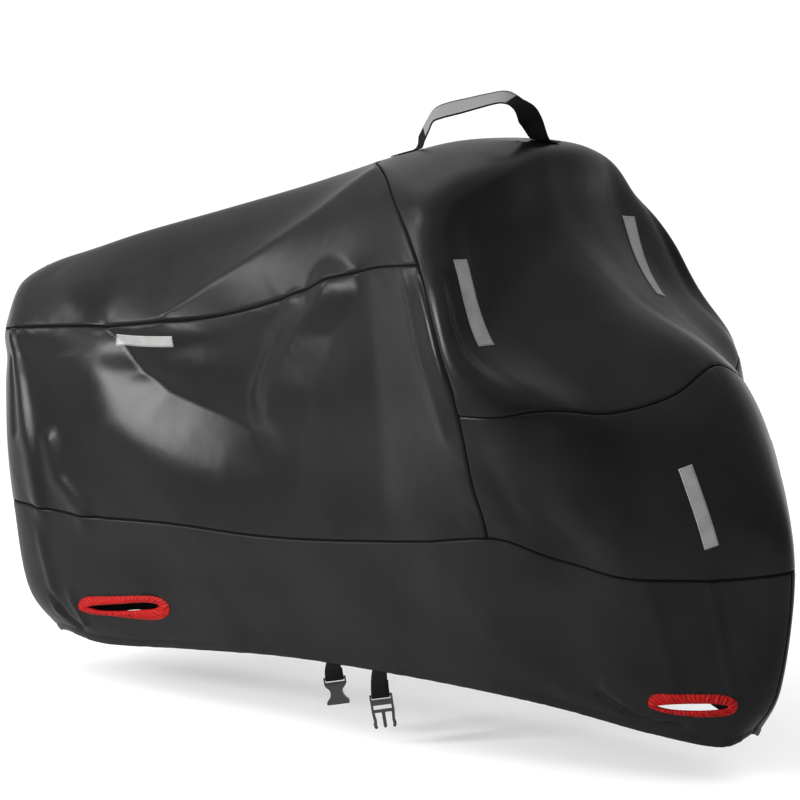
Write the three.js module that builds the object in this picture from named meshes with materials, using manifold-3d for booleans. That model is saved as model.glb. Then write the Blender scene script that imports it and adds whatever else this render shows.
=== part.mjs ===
// Fitted motorcycle cover: coated oxford cloth in the shape it takes over a parked machine.
// Millimetres, +Z up. +X is the nose, -Y the right-hand side. The cover is hollow and open below.
// The origin is the point under the crown where the machine carries the cloth.
import * as THREE from 'three';
import { mergeVertices } from 'three/addons/utils/BufferGeometryUtils.js';
import Module from 'manifold-3d';

const wasm = await Module();
wasm.setup();

// Driving dimensions
const CLOTH = 2;
const SEAM_GAP = 0.3;
const FAR_FOLD_SHARE = 0.6;
const CARRY_POINT = { x: 300, z: 1335 };

// One row for each section, from the tail to the nose, as heights above the ground.
// Each point is [x, half width, z] where the section crosses one of the named loops.
const LOOPS = ['hem', 'lock', 'skirtSeam', 'flank', 'frontSeam', 'belt', 'sideSeam', 'saddle', 'spine'];
const SECTIONS = [
  { at: 'tail centre', run: [[-893, 0, 76], [-939, 0, 178], [-979, 0, 358], [-997, 0, 514],
    [-1015, 0, 644], [-1025, 0, 709], [-1033, 0, 771], [-1016, 0, 872], [-941, 0, 925]] },
  { at: 'tail corner', run: [[-860, 69, 86], [-925, 108, 192], [-948, 128, 393], [-957, 134, 533],
    [-969, 128, 657], [-970, 123, 724], [-976, 119, 791], [-956, 74, 885], [-895, 0, 945]] },
  { at: 'rear wheel', run: [[-799, 125, 105], [-835, 170, 194], [-856, 208, 411], [-866, 221, 551],
    [-867, 208, 680], [-865, 198, 749], [-864, 188, 820], [-837, 107, 915], [-808, 0, 977]] },
  { at: 'tail light', run: [[-656, 168, 103], [-645, 203, 189], [-641, 250, 417], [-639, 261, 577],
    [-638, 248, 720], [-637, 235, 792], [-639, 219, 860], [-645, 126, 962], [-659, 0, 1033]] },
  { at: 'pillion seat', run: [[-403, 197, 133], [-394, 224, 204], [-389, 265, 435], [-389, 281, 603],
    [-387, 268, 757], [-386, 250, 828], [-385, 229, 894], [-416, 134, 1020], [-455, 0, 1101]] },
  { at: 'rider seat', run: [[-89, 223, 164], [-83, 244, 232], [-75, 296, 450], [-76, 316, 642],
    [-77, 309, 799], [-77, 287, 896], [-78, 264, 983], [-149, 155, 1109], [-237, 0, 1175]] },
  { at: 'tank', run: [[235, 229, 170], [242, 252, 239], [259, 326, 492], [258, 362, 665],
    [254, 375, 821], [233, 357, 953], [192, 322, 1087], [42, 191, 1193], [-96, 0, 1226]] },
  { at: 'bar seam', run: [[498, 221, 162], [506, 248, 242], [528, 342, 539], [530, 404, 677],
    [540, 466, 832], [489, 470, 972], [395, 406, 1133], [201, 235, 1258], [14, 0, 1267]] },
  { at: 'bar end', run: [[646, 191, 144], [657, 220, 231], [675, 289, 503], [685, 333, 648],
    [691, 371, 846], [533, 411, 973], [442, 374, 1154], [336, 303, 1271], [106, 0, 1298]] },
  { at: 'fairing', run: [[813, 133, 108], [828, 167, 197], [846, 225, 474], [838, 250, 628],
    [779, 245, 830], [555, 282, 988], [453, 262, 1155], [388, 239, 1298], [200, 0, 1325]] },
  { at: 'nose corner', run: [[954, 68, 85], [980, 91, 198], [982, 115, 467], [971, 140, 635],
    [864, 133, 860], [599, 148, 1013], [473, 134, 1161], [424, 127, 1310], [291, 0, 1337]] },
  { at: 'nose centre', run: [[988, 0, 104], [1056, 0, 216], [1088, 0, 478], [1032, 0, 663],
    [884, 0, 907], [632, 0, 1033], [484, 0, 1164], [436, 0, 1312], [371, 0, 1344]] },
];

// How many facets lie between neighbouring sections and between neighbouring loops.
const FACETS_ALONG = [3, 3, 4, 4, 5, 5, 4, 4, 4, 4, 4];
const FACETS_UP = [2, 4, 3, 3, 3, 3, 4, 4];
const BAR_SEAM = SECTIONS.findIndex((row) => row.at === 'bar seam');
const NOSE = SECTIONS.length - 1;
const LOOP = Object.fromEntries(LOOPS.map((name, level) => [name, level]));

// Ridges (height above 0) and troughs (below 0), each along a path of [section, loop] places. Width
// is how far a fold fades to the left and to the right of its path, and form how it fades.
const FOLDS = [
  { name: 'saddle ridge', form: 'keen', width: [130, 42], height: 15,
    path: [[6.9, 7.25], [5.75, 6.9], [5.2, 6.8], [4.7, 6.6], [4.3, 6.5], [3.9, 6.15]] },
  { name: 'tail crown ridge', form: 'round', width: [60, 40], height: 6, path: [[2.05, 7.1], [3, 6.05]] },
  { name: 'swag groove', form: 'keen', width: [95, 120], height: -34,
    path: [[3.1, 6.05], [3.3, 5.35], [3.6, 4.3], [3.9, 3.85], [4.25, 3.6], [4.65, 3.35], [5, 3.3]] },
  { name: 'pocket', form: 'round', width: [140, 120], height: -16, path: [[4.4, 5.55], [4.5, 4]] },
  { name: 'swag', form: 'round', width: [60, 80], height: 8,
    path: [[2.9, 4.8], [3.3, 3.35], [4, 2.8], [4.5, 2.6], [4.95, 2.75]] },
  { name: 'stay crest', form: 'planed', width: [34, 125], height: 20,
    path: [[5.55, 5.95], [5.25, 5.25], [5.05, 4.15], [4.95, 3.6]] },
  { name: 'tail pleat', form: 'round', width: [20, 36], height: 10,
    path: [[1.7, 5.65], [2.05, 3.8], [2.3, 2.85], [2.35, 2.05]] },
  { name: 'knee hollow', form: 'round', width: [40, 90], height: -9,
    path: [[5.95, 5.55], [6, 4.2], [6, 2.7]] },
  { name: 'screen ridge', form: 'round', width: [45, 60], height: 8,
    path: [[7.55, 5.35], [7.55, 4.6], [7.55, 4.05]] },
  { name: 'fairing ridge', form: 'round', width: [100, 80], height: 24,
    path: [[7.75, 3.9], [8.1, 3.35], [8.55, 2.7], [8.65, 2.45]] },
  { name: 'fork ridge', form: 'round', width: [60, 50], height: 10,
    path: [[6.5, 1.8], [7.05, 1.35], [7.9, 0.95]] },
  { name: 'fork hollow', form: 'round', width: [55, 55], height: -8, path: [[7.2, 1.75], [7.95, 1.35]] },
  { name: 'fork pleat', form: 'round', width: [34, 34], height: 8, path: [[9.85, 1.8], [10, 1.3], [10, 0.4]] },
  { name: 'axle pleat', form: 'round', width: [40, 40], height: 6, path: [[9.1, 1.85], [9.35, 1.2]] },
  { name: 'tail gather', form: 'round', width: [36, 36], height: -9, path: [[2.25, 1.1], [2.4, 0.3]] },
  { name: 'belly hollow', form: 'round', width: [70, 70], height: -7,
    path: [[5.15, 1.4], [5.85, 1.4], [6.4, 1.35]] },
];
const FOLD_PITCH = { section: 225, loop: 145 };
const FOLD_REACH = 4;
const FADE = {
  round: (reach) => Math.exp(-reach * reach),
  keen: (reach) => Math.exp(-reach),
  planed: (reach) => Math.max(0, 1 - reach),
};

// Reflective tapes, sewn on both halves. Each row gives the middle of both ends, near the cloth.
const TAPE = { thick: 1, lift: 0.8, pitch: 10 };
const TAPES = [
  { name: 'rear_tape', width: 25,
    right: [[-583, -233, 821], [-400, -241, 846]], left: [[-583, 233, 821], [-400, 241, 846]] },
  { name: 'screen_tape', width: 44,
    right: [[456, -342, 1142], [549, -373, 971]], left: [[459, 297, 1143], [571, 262, 984]] },
  { name: 'fairing_tape', width: 32,
    right: [[920, -165, 718], [973, -139, 543]], left: [[920, 165, 718], [973, 139, 543]] },
];

// Lock holes through both skirts: a slot whose edge is bound. Half lengths and half heights.
const LOCK_HOLES = [
  { name: 'rear_lock_binding', binding: [145, 30], slot: [115, 10.5],
    right: [[-710, -198, 183], [-424, -228, 232]], left: [[-710, 198, 183], [-424, 228, 232]] },
  { name: 'front_lock_binding', binding: [97, 28], slot: [75, 10],
    right: [[827, -160, 182], [1000, -72, 190]], left: [[827, 160, 182], [1000, 72, 190]] },
];
const BINDING = { proud: 2.5, steps: 40, power: 2.6 };

// Carry handle: the middle of the webbing, and how its width turns and leans, in degrees.
// The webbing never dips under the crown, so rows with z 0 lie on it.
const HANDLE = { width: 50, thick: 2.4, lift: 0.5, rowsPerKnot: 2 };
const HANDLE_PATH = [
  { x: 44, y: 0, z: 0, turn: 0, lean: 0 },
  { x: 84, y: 0, z: 0, turn: 4, lean: 0 },
  { x: 103, y: 0, z: 1308, turn: 46, lean: 10 },
  { x: 114, y: 0, z: 1329, turn: 45, lean: 15 },
  { x: 125, y: 0, z: 1349, turn: 42, lean: 20 },
  { x: 143, y: 0, z: 1377, turn: 32, lean: 28 },
  { x: 173, y: 0, z: 1391, turn: 16, lean: 37 },
  { x: 223, y: 0, z: 1406, turn: 14, lean: 36 },
  { x: 272, y: 0, z: 1421, turn: 12, lean: 33 },
  { x: 320, y: 0, z: 1434, turn: 10, lean: 28 },
  { x: 352, y: 0, z: 1431, turn: 12, lean: -4 },
  { x: 372, y: 2, z: 1419, turn: 18, lean: -26 },
  { x: 382, y: 10, z: 1404, turn: 48, lean: -30 },
  { x: 385, y: 25, z: 1383, turn: 85, lean: -24 },
  { x: 383, y: 45, z: 1360, turn: 103, lean: -16 },
  { x: 378, y: 64, z: 1344, turn: 103, lean: -8 },
  { x: 374, y: 86, z: 0, turn: 92, lean: 0 },
  { x: 372, y: 122, z: 0, turn: 90, lean: 0 },
];
const HANDLE_TAPE = { from: 3.5, to: 10, width: 42, thick: 1, lift: 1.3 };

// Belly straps, sewn inside the near hem and looped round the top bars of a buckle's two halves.
// x and bar say where the middle of the bar hangs, as height above the ground. The strap turns
// about its length on the way down and hangs a little aslant, in degrees.
const STRAP = { width: 40, thick: 2.2, sewn: 34, clear: 0.4, tail: 34, turn: 30, slant: -9 };
const BELLY_STRAPS = [
  { name: 'socket_strap', x: 31, bar: 134 },
  { name: 'plug_strap', x: 159, bar: 114 },
];
// The webbing round the bar, in millimetres from the bar's faces and from the hem.
const LOOP_ROUND = { over: 4, under: 1.6, bend: 1.4, close: 12, rest: 0.6, hemClear: 2, hemDrop: 6, skin: 0.4 };
const BAR = { halfDepth: 2.4, top: 2.6, bottom: -2.2 };
const SLOT = { halfWidth: 21.5, bottom: -9 };
const COLLAR = [[25, 2.6], [25, -13], [-25, -13], [-25, 2.6]];
const SOCKET_BODY = [[24.5, -12.5], [22, -18], [15, -25], [13.5, -31], [14.5, -38], [19, -46],
  [24.5, -52], [25, -59], [-25, -59], [-24.5, -52], [-19, -46], [-14.5, -38], [-13.5, -31], [-15, -25],
  [-22, -18], [-24.5, -12.5]];
const SOCKET = { thick: 11.5, mouth: { halfWidth: 10.5, halfDepth: 3.7, top: -17 },
  flare: { halfWidth: 21, top: -53 } };
const PLUG = { thick: 6 };
const PLUG_FRAME = [[25.5, 2.6], [25.5, -38], [-25.5, -38], [-25.5, 2.6]];
const PLUG_WINDOW = [[20.5, -21.5], [20.5, -31.5], [-20.5, -31.5], [-20.5, -21.5]];
const PLUG_ARM = [[19.5, -36], [18.5, -46], [17.5, -58], [18.5, -66], [17, -72], [21.5, -74.5],
  [24.5, -71], [25.5, -63], [23.5, -57], [24.5, -46], [25.5, -36]];
const PLUG_GUIDE = [[3.8, -36], [3.4, -70], [2, -73], [-2, -73], [-3.4, -70], [-3.8, -36]];

const ORIGIN = new THREE.Vector3(CARRY_POINT.x, 0, CARRY_POINT.z);
const cover = new THREE.Group();
cover.position.copy(ORIGIN).negate();

const FINISH = {
  cloth: { color: 0x2d2d2e, roughness: 0.55, metalness: 0 },
  tape: { color: 0xb2b3b4, roughness: 0.45, metalness: 0 },
  binding: { color: 0xc81e1e, roughness: 0.7, metalness: 0 },
  webbing: { color: 0x161617, roughness: 0.8, metalness: 0 },
  buckle: { color: 0x1b1b1c, roughness: 0.4, metalness: 0 },
};

function addPiece(name, geometry, finish) {
  const mesh = new THREE.Mesh(geometry, new THREE.MeshStandardMaterial(FINISH[finish]));
  mesh.name = name;
  cover.add(mesh);
  return mesh;
}

// A smooth curve through four neighbours, at a share of the way from the second to the third.
function throughFour(a, b, c, d, share) {
  const square = share * share;
  const cube = square * share;
  const blend = [
    -0.5 * cube + square - 0.5 * share,
    1.5 * cube - 2.5 * square + 1,
    -1.5 * cube + 2 * square + 0.5 * share,
    0.5 * cube - 0.5 * square,
  ];
  return new THREE.Vector3()
    .addScaledVector(a, blend[0]).addScaledVector(b, blend[1])
    .addScaledVector(c, blend[2]).addScaledVector(d, blend[3]);
}

function mirrored(point) {
  return new THREE.Vector3(point.x, -point.y, point.z);
}

// A table point. Past the tail, the nose and the spine the far half of the cover carries on.
function tablePoint(section, loop) {
  if (section < 0) return mirrored(tablePoint(-section, loop));
  if (section > NOSE) return mirrored(tablePoint(2 * NOSE - section, loop));
  if (loop > LOOP.spine) return mirrored(tablePoint(section, 2 * LOOP.spine - loop));
  if (loop < 0) {
    return tablePoint(section, 0).multiplyScalar(2).sub(tablePoint(section, -loop));
  }
  return new THREE.Vector3(...SECTIONS[section].run[loop]);
}

function smoothPoint(section, loop) {
  const row = Math.min(Math.floor(section), NOSE - 1);
  const level = Math.min(Math.floor(loop), LOOP.spine - 1);
  const across = [-1, 0, 1, 2].map((step) => throughFour(
    tablePoint(row + step, level - 1), tablePoint(row + step, level),
    tablePoint(row + step, level + 1), tablePoint(row + step, level + 2), loop - level));
  return throughFour(...across, section - row);
}

function smoothNormal(section, loop) {
  const reach = 0.02;
  const low = Math.max(0, loop - reach);
  const high = Math.min(LOOP.spine - reach, loop + reach);
  const along = smoothPoint(Math.min(section + reach, NOSE), loop)
    .sub(smoothPoint(Math.max(section - reach, 0), loop));
  const up = smoothPoint(section, Math.max(high, low + reach)).sub(smoothPoint(section, low));
  return up.cross(along).normalize();
}

function foldHeight(section, loop) {
  const here = new THREE.Vector2(section * FOLD_PITCH.section, loop * FOLD_PITCH.loop);
  let total = 0;
  for (const fold of FOLDS) {
    const path = fold.path.map(([s, l]) => new THREE.Vector2(s * FOLD_PITCH.section, l * FOLD_PITCH.loop));
    let nearest = Infinity;
    let lean = 0;
    for (let i = 1; i < path.length; i += 1) {
      const run = path[i].clone().sub(path[i - 1]);
      const away = here.clone().sub(path[i - 1]);
      const share = THREE.MathUtils.clamp(away.dot(run) / run.lengthSq(), 0, 1);
      const distance = away.clone().addScaledVector(run, -share).length();
      if (distance < nearest) {
        nearest = distance;
        lean = distance > 0 ? run.cross(away) / run.length() / distance : 0;
      }
    }
    const [left, right] = fold.width;
    const reach = nearest / ((left * (1 + lean) + right * (1 - lean)) / 2);
    if (reach < FOLD_REACH) total += fold.height * FADE[fold.form](reach);
  }
  return total;
}

// The outer face of the cloth. side is -1 on the right-hand half and 1 on the left-hand half.
const CENTRE_BLEND = 160;
function clothPoint(section, loop, side) {
  const point = smoothPoint(section, loop);
  const offCentre = Math.min(1, Math.abs(point.y) / CENTRE_BLEND);
  const share = side > 0 ? FAR_FOLD_SHARE : 1;
  const height = foldHeight(section, loop) * offCentre * share;
  point.addScaledVector(smoothNormal(section, loop), height);
  point.y = Math.max(0, point.y) * side;
  return point;
}

function gridLines(facets) {
  const lines = [0];
  facets.forEach((count, i) => {
    for (let step = 1; step <= count; step += 1) lines.push(i + step / count);
  });
  return lines;
}
const COLUMNS = gridLines(FACETS_ALONG);
const ROWS = gridLines(FACETS_UP);
const columnOf = (section) => COLUMNS.indexOf(section);
const rowOf = (loop) => ROWS.indexOf(loop);

// The whole cover as one net of shared corners, with the normal of the faceted cloth at each.
const corners = new Map();
const cornerKey = (point) => [point.x, point.y, point.z].map((value) => value.toFixed(3)).join(' ');
function makeNet(side) {
  return COLUMNS.map((section) => ROWS.map((loop) => {
    const point = clothPoint(section, loop, side);
    if (Math.abs(point.y) < 1e-3) point.y = 0;
    const key = cornerKey(point);
    if (!corners.has(key)) corners.set(key, { point, normal: new THREE.Vector3() });
    return corners.get(key);
  }));
}
const NETS = { right: makeNet(-1), left: makeNet(1) };

// The facets of a patch of the net, as corner triples whose faces point out of the cover.
function patchFacets(half, firstSection, lastSection, firstLoop, lastLoop) {
  const net = NETS[half];
  const facets = [];
  for (let c = columnOf(firstSection); c < columnOf(lastSection); c += 1) {
    for (let r = rowOf(firstLoop); r < rowOf(lastLoop); r += 1) {
      const [a, b, d, e] = [net[c][r], net[c + 1][r], net[c + 1][r + 1], net[c][r + 1]];
      const split = a.point.distanceTo(d.point) < b.point.distanceTo(e.point);
      const pair = split ? [[a, b, d], [a, d, e]] : [[a, b, e], [b, d, e]];
      for (const facet of pair) {
        if (new Set(facet).size < 3) continue;
        facets.push(half === 'right' ? facet : [facet[0], facet[2], facet[1]]);
      }
    }
  }
  return facets;
}

for (const half of ['right', 'left']) {
  for (const [a, b, c] of patchFacets(half, 0, NOSE, 0, LOOP.spine)) {
    const turn = b.point.clone().sub(a.point).cross(c.point.clone().sub(a.point));
    [a, b, c].forEach((corner) => corner.normal.add(turn));
  }
}
corners.forEach((corner) => corner.normal.normalize());

function geometryFrom(points, triangles) {
  const geometry = new THREE.BufferGeometry();
  geometry.setAttribute('position', new THREE.Float32BufferAttribute(points.flatMap((p) => p.toArray()), 3));
  geometry.setIndex(triangles.flat());
  return geometry;
}

// A cut and hemmed panel: its facets as the outer face, a copy one cloth thickness inside, and
// walls round its edge. The edge is drawn back by half a seam gap.
function panelGeometry(facets) {
  const used = [...new Set(facets.flat())];
  const place = new Map(used.map((corner, i) => [corner, i]));
  const edges = new Map();
  for (const facet of facets) {
    facet.forEach((corner, i) => {
      const next = facet[(i + 1) % 3];
      const key = `${place.get(next)} ${place.get(corner)}`;
      if (edges.has(key)) edges.delete(key);
      else edges.set(`${place.get(corner)} ${place.get(next)}`, [corner, next]);
    });
  }
  const pull = used.map(() => new THREE.Vector3());
  for (const [from, to] of edges.values()) {
    const inward = from.normal.clone().add(to.normal)
      .cross(to.point.clone().sub(from.point)).normalize();
    pull[place.get(from)].add(inward);
    pull[place.get(to)].add(inward);
  }
  const outer = used.map((corner, i) => {
    const shift = pull[i];
    if (shift.lengthSq() === 0) return corner.point.clone();
    const spread = Math.max(0.5, shift.length() / 2);
    return corner.point.clone().addScaledVector(shift.normalize(), SEAM_GAP / 2 / spread);
  });
  const inner = used.map((corner, i) => outer[i].clone().addScaledVector(corner.normal, -CLOTH));
  const count = used.length;
  const triangles = [];
  for (const facet of facets) {
    const [a, b, c] = facet.map((corner) => place.get(corner));
    triangles.push([a, b, c], [a + count, c + count, b + count]);
  }
  for (const [from, to] of edges.values()) {
    const a = place.get(from);
    const b = place.get(to);
    triangles.push([a, b + count, b], [a, a + count, b + count]);
  }
  return geometryFrom([...outer, ...inner], triangles);
}

function bothHalves(firstSection, lastSection, firstLoop, lastLoop) {
  return [
    ...patchFacets('right', firstSection, lastSection, firstLoop, lastLoop),
    ...patchFacets('left', firstSection, lastSection, firstLoop, lastLoop),
  ];
}

const HALVES = [['right', -1], ['left', 1]];

addPiece('saddle_panel', panelGeometry(bothHalves(0, BAR_SEAM, LOOP.sideSeam, LOOP.spine)), 'cloth');
addPiece('screen_panel', panelGeometry(bothHalves(BAR_SEAM, NOSE, LOOP.frontSeam, LOOP.spine)), 'cloth');
addPiece('fairing_panel', panelGeometry(bothHalves(BAR_SEAM, NOSE, LOOP.skirtSeam, LOOP.frontSeam)), 'cloth');
for (const [half] of HALVES) {
  const side = patchFacets(half, 0, BAR_SEAM, LOOP.skirtSeam, LOOP.sideSeam);
  addPiece(`${half}_side_panel`, panelGeometry(side), 'cloth');
}
const skirts = {};
for (const [half] of HALVES) {
  skirts[half] = panelGeometry(patchFacets(half, 0, NOSE, LOOP.hem, LOOP.skirtSeam));
}

// The outer face of the whole cover, which trims are laid on.
function outsideGeometry() {
  const facets = bothHalves(0, NOSE, 0, LOOP.spine);
  const used = [...new Set(facets.flat())];
  const place = new Map(used.map((corner, i) => [corner, i]));
  return geometryFrom(used.map((corner) => corner.point), facets.map((f) => f.map((c) => place.get(c))));
}
const outside = new THREE.Mesh(outsideGeometry(), new THREE.MeshBasicMaterial({ side: THREE.DoubleSide }));
const outsideFacets = bothHalves(0, NOSE, 0, LOOP.spine)
  .map((facet) => new THREE.Triangle(...facet.map((corner) => corner.point)));
const sight = new THREE.Raycaster();
const SIGHT_LENGTH = 300;

function hitFrom(start, towards) {
  sight.set(start, towards);
  return sight.intersectObject(outside)[0].point;
}

// The way out of the cloth at the facet nearest to a place.
function outwardAt(place) {
  const spot = new THREE.Vector3();
  let nearest = Infinity;
  let out = null;
  for (const facet of outsideFacets) {
    const distance = facet.closestPointToPoint(place, spot).distanceTo(place);
    if (distance < nearest) {
      nearest = distance;
      out = facet.getNormal(new THREE.Vector3());
    }
  }
  return out;
}

// A flat frame laid along the cloth between two places: a runs from one to the other, b across,
// out away from the cloth.
function frameBetween([from, to], side) {
  const [start, end] = [new THREE.Vector3(...from), new THREE.Vector3(...to)];
  const middle = start.clone().add(end).multiplyScalar(0.5);
  const a = end.clone().sub(start).normalize();
  const out = outwardAt(middle);
  out.addScaledVector(a, -out.dot(a)).normalize();
  return { middle, a, out, b: out.clone().cross(a).multiplyScalar(-side), length: start.distanceTo(end) };
}

// Where the place [u, v] of a frame lands on the cloth, moved off it by rise.
function onCloth(frame, u, v, rise) {
  const start = frame.middle.clone().addScaledVector(frame.a, u).addScaledVector(frame.b, v)
    .addScaledVector(frame.out, SIGHT_LENGTH);
  return hitFrom(start, frame.out.clone().negate()).addScaledVector(frame.out, rise);
}

// A closed slab between a grid of lower points and the same grid of upper points.
function slabGeometry(lower, upper, columns, rows, flip) {
  const points = [...lower, ...upper];
  const count = lower.length;
  const at = (c, r) => c * (rows + 1) + r;
  const triangles = [];
  const quad = (a, b, c, d) => triangles.push([a, b, c], [a, c, d]);
  for (let c = 0; c < columns; c += 1) {
    for (let r = 0; r < rows; r += 1) {
      const [p, q, s, t] = [at(c, r), at(c + 1, r), at(c + 1, r + 1), at(c, r + 1)];
      quad(p + count, q + count, s + count, t + count);
      quad(p, t, s, q);
    }
  }
  for (let c = 0; c < columns; c += 1) {
    quad(at(c, 0), at(c + 1, 0), at(c + 1, 0) + count, at(c, 0) + count);
    quad(at(c + 1, rows), at(c, rows), at(c, rows) + count, at(c + 1, rows) + count);
  }
  for (let r = 0; r < rows; r += 1) {
    quad(at(0, r + 1), at(0, r), at(0, r) + count, at(0, r + 1) + count);
    quad(at(columns, r), at(columns, r + 1), at(columns, r + 1) + count, at(columns, r) + count);
  }
  return geometryFrom(points, flip ? triangles.map(([a, b, c]) => [a, c, b]) : triangles);
}

for (const [half, side] of HALVES) {
  for (const tape of TAPES) {
    const frame = frameBetween(tape[half], side);
    const columns = Math.round(frame.length / TAPE.pitch);
    const rows = Math.round(tape.width / TAPE.pitch);
    const lower = [];
    const upper = [];
    for (let c = 0; c <= columns; c += 1) {
      for (let r = 0; r <= rows; r += 1) {
        const u = (c / columns - 0.5) * frame.length;
        const v = (r / rows - 0.5) * tape.width;
        lower.push(onCloth(frame, u, v, TAPE.lift));
        upper.push(onCloth(frame, u, v, TAPE.lift + TAPE.thick));
      }
    }
    addPiece(`${half}_${tape.name}`, slabGeometry(lower, upper, columns, rows, side > 0), 'tape');
  }
}

// A rounded lens outline with half length and half height.
function lensOutline([halfLength, halfHeight]) {
  return Array.from({ length: BINDING.steps }, (_, i) => {
    const angle = (i / BINDING.steps) * 2 * Math.PI;
    const [c, s] = [Math.cos(angle), Math.sin(angle)];
    return [
      halfLength * Math.sign(c) * Math.abs(c) ** (2 / BINDING.power),
      halfHeight * Math.sign(s) * Math.abs(s) ** (2 / BINDING.power),
    ];
  });
}

function toSolid(geometry) {
  const bare = geometry.clone();
  bare.deleteAttribute('normal');
  bare.deleteAttribute('uv');
  const merged = mergeVertices(bare, 1e-4);
  return new wasm.Manifold(new wasm.Mesh({
    numProp: 3,
    vertProperties: new Float32Array(merged.getAttribute('position').array),
    triVerts: new Uint32Array(merged.getIndex().array),
  }));
}

function fromSolid(solid) {
  const mesh = solid.getMesh();
  const geometry = new THREE.BufferGeometry();
  geometry.setAttribute('position', new THREE.BufferAttribute(mesh.vertProperties.slice(), 3));
  geometry.setIndex(new THREE.BufferAttribute(mesh.triVerts.slice(), 1));
  return geometry;
}

// A closed band between two nested rings of points, each given at the back and at the front.
function bandGeometry(outerBack, outerFront, innerBack, innerFront, flip) {
  const count = outerBack.length;
  const points = [...outerBack, ...outerFront, ...innerBack, ...innerFront];
  const triangles = [];
  const quad = (a, b, c, d) => triangles.push([a, b, c], [a, c, d]);
  for (let i = 0; i < count; i += 1) {
    const j = (i + 1) % count;
    quad(i, j, j + count, i + count);
    quad(i + count, j + count, j + 3 * count, i + 3 * count);
    quad(i + 3 * count, j + 3 * count, j + 2 * count, i + 2 * count);
    quad(i + 2 * count, j + 2 * count, j, i);
  }
  return geometryFrom(points, flip ? triangles.map(([a, b, c]) => [a, c, b]) : triangles);
}

function plugGeometry(back, front, flip) {
  const count = back.length;
  const triangles = [];
  for (let i = 0; i < count; i += 1) {
    const j = (i + 1) % count;
    triangles.push([i, j, j + count], [i, j + count, i + count]);
  }
  for (let i = 1; i < count - 1; i += 1) {
    triangles.push([0, i + 1, i], [count, count + i, count + i + 1]);
  }
  return geometryFrom([...back, ...front], flip ? triangles.map(([a, b, c]) => [a, c, b]) : triangles);
}

const CUT_REACH = 60;
for (const [half, side] of HALVES) {
  let skirt = toSolid(skirts[half]);
  for (const hole of LOCK_HOLES) {
    const frame = frameBetween(hole[half], side);
    const cut = lensOutline(hole.binding.map((size) => size + SEAM_GAP));
    const at = (u, v, depth) => frame.middle.clone().addScaledVector(frame.a, u)
      .addScaledVector(frame.b, v).addScaledVector(frame.out, depth);
    const plug = plugGeometry(
      cut.map(([u, v]) => at(u, v, -CUT_REACH)), cut.map(([u, v]) => at(u, v, CUT_REACH)), side > 0);
    skirt = skirt.subtract(toSolid(plug));
    const ring = (outline, rise) => outline.map(([u, v]) => onCloth(frame, u, v, rise));
    const [outer, inner] = [lensOutline(hole.binding), lensOutline(hole.slot)];
    const back = -CLOTH - BINDING.proud;
    addPiece(`${half}_${hole.name}`, bandGeometry(
      ring(outer, back), ring(outer, BINDING.proud),
      ring(inner, back), ring(inner, BINDING.proud), side > 0), 'binding');
  }
  addPiece(`${half}_skirt_panel`, fromSolid(skirt), 'cloth');
}

// Webbing: a flat band lofted along rows of { middle, across, out }. It never dips under rest.
const ACROSS_WEBBING = [-0.5, 0, 0.5];
function webbingGeometry(rows, width, thick, lift, rest) {
  const lower = [];
  const upper = [];
  for (const row of rows) {
    for (const edge of ACROSS_WEBBING) {
      const point = row.middle.clone().addScaledVector(row.across, edge * width);
      if (rest) point.z = Math.max(point.z, rest(point.x, point.y));
      lower.push(point.clone().addScaledVector(row.out, lift));
      upper.push(point.clone().addScaledVector(row.out, lift + thick));
    }
  }
  return slabGeometry(lower, upper, rows.length - 1, ACROSS_WEBBING.length - 1, true);
}

const crownAt = (x, y) => hitFrom(new THREE.Vector3(x, y, 2 * CARRY_POINT.z), new THREE.Vector3(0, 0, -1)).z;

const handleKnots = HANDLE_PATH.map((row) => {
  const turn = THREE.MathUtils.degToRad(row.turn);
  const lean = THREE.MathUtils.degToRad(row.lean);
  return {
    middle: new THREE.Vector3(row.x, row.y, Math.max(row.z, crownAt(row.x, row.y))),
    across: new THREE.Vector3(
      Math.sin(turn) * Math.cos(lean), -Math.cos(turn) * Math.cos(lean), -Math.sin(lean)),
  };
});

function alongHandle(place, key) {
  const last = handleKnots.length - 1;
  const i = THREE.MathUtils.clamp(Math.floor(place), 0, last - 1);
  const near = [-1, 0, 1, 2].map((step) => handleKnots[THREE.MathUtils.clamp(i + step, 0, last)][key]);
  return throughFour(...near, place - i);
}

function handleRows(from, to) {
  const ahead = 0.05;
  const steps = (to - from) * HANDLE.rowsPerKnot;
  return Array.from({ length: steps + 1 }, (_, i) => {
    const place = from + ((to - from) * i) / steps;
    const way = alongHandle(Math.min(place + ahead, handleKnots.length - 1), 'middle')
      .sub(alongHandle(Math.max(place - ahead, 0), 'middle')).normalize();
    const across = alongHandle(place, 'across');
    across.addScaledVector(way, -across.dot(way)).normalize();
    return { middle: alongHandle(place, 'middle'), across, out: across.clone().cross(way) };
  });
}

addPiece('handle_webbing', webbingGeometry(
  handleRows(0, handleKnots.length - 1), HANDLE.width, HANDLE.thick, HANDLE.lift, crownAt), 'webbing');
addPiece('handle_tape', webbingGeometry(
  handleRows(HANDLE_TAPE.from, HANDLE_TAPE.to), HANDLE_TAPE.width, HANDLE_TAPE.thick,
  HANDLE.lift + HANDLE.thick + HANDLE_TAPE.lift, null), 'tape');

// Where a level line from the right-hand side meets the cloth, if it does.
function skirtHit(x, z) {
  sight.set(new THREE.Vector3(x, -2 * CARRY_POINT.z, z), new THREE.Vector3(0, 1, 0));
  return sight.intersectObject(outside)[0];
}
const strapEdges = (x) => [x - STRAP.width / 2, x, x + STRAP.width / 2];
const skirtReach = (x, z) => Math.max(...strapEdges(x).map((spot) => skirtHit(spot, z).point.y));

function hemHeight(x) {
  let z = 0;
  while (!skirtHit(x, z)) z += 1;
  return z;
}

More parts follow.
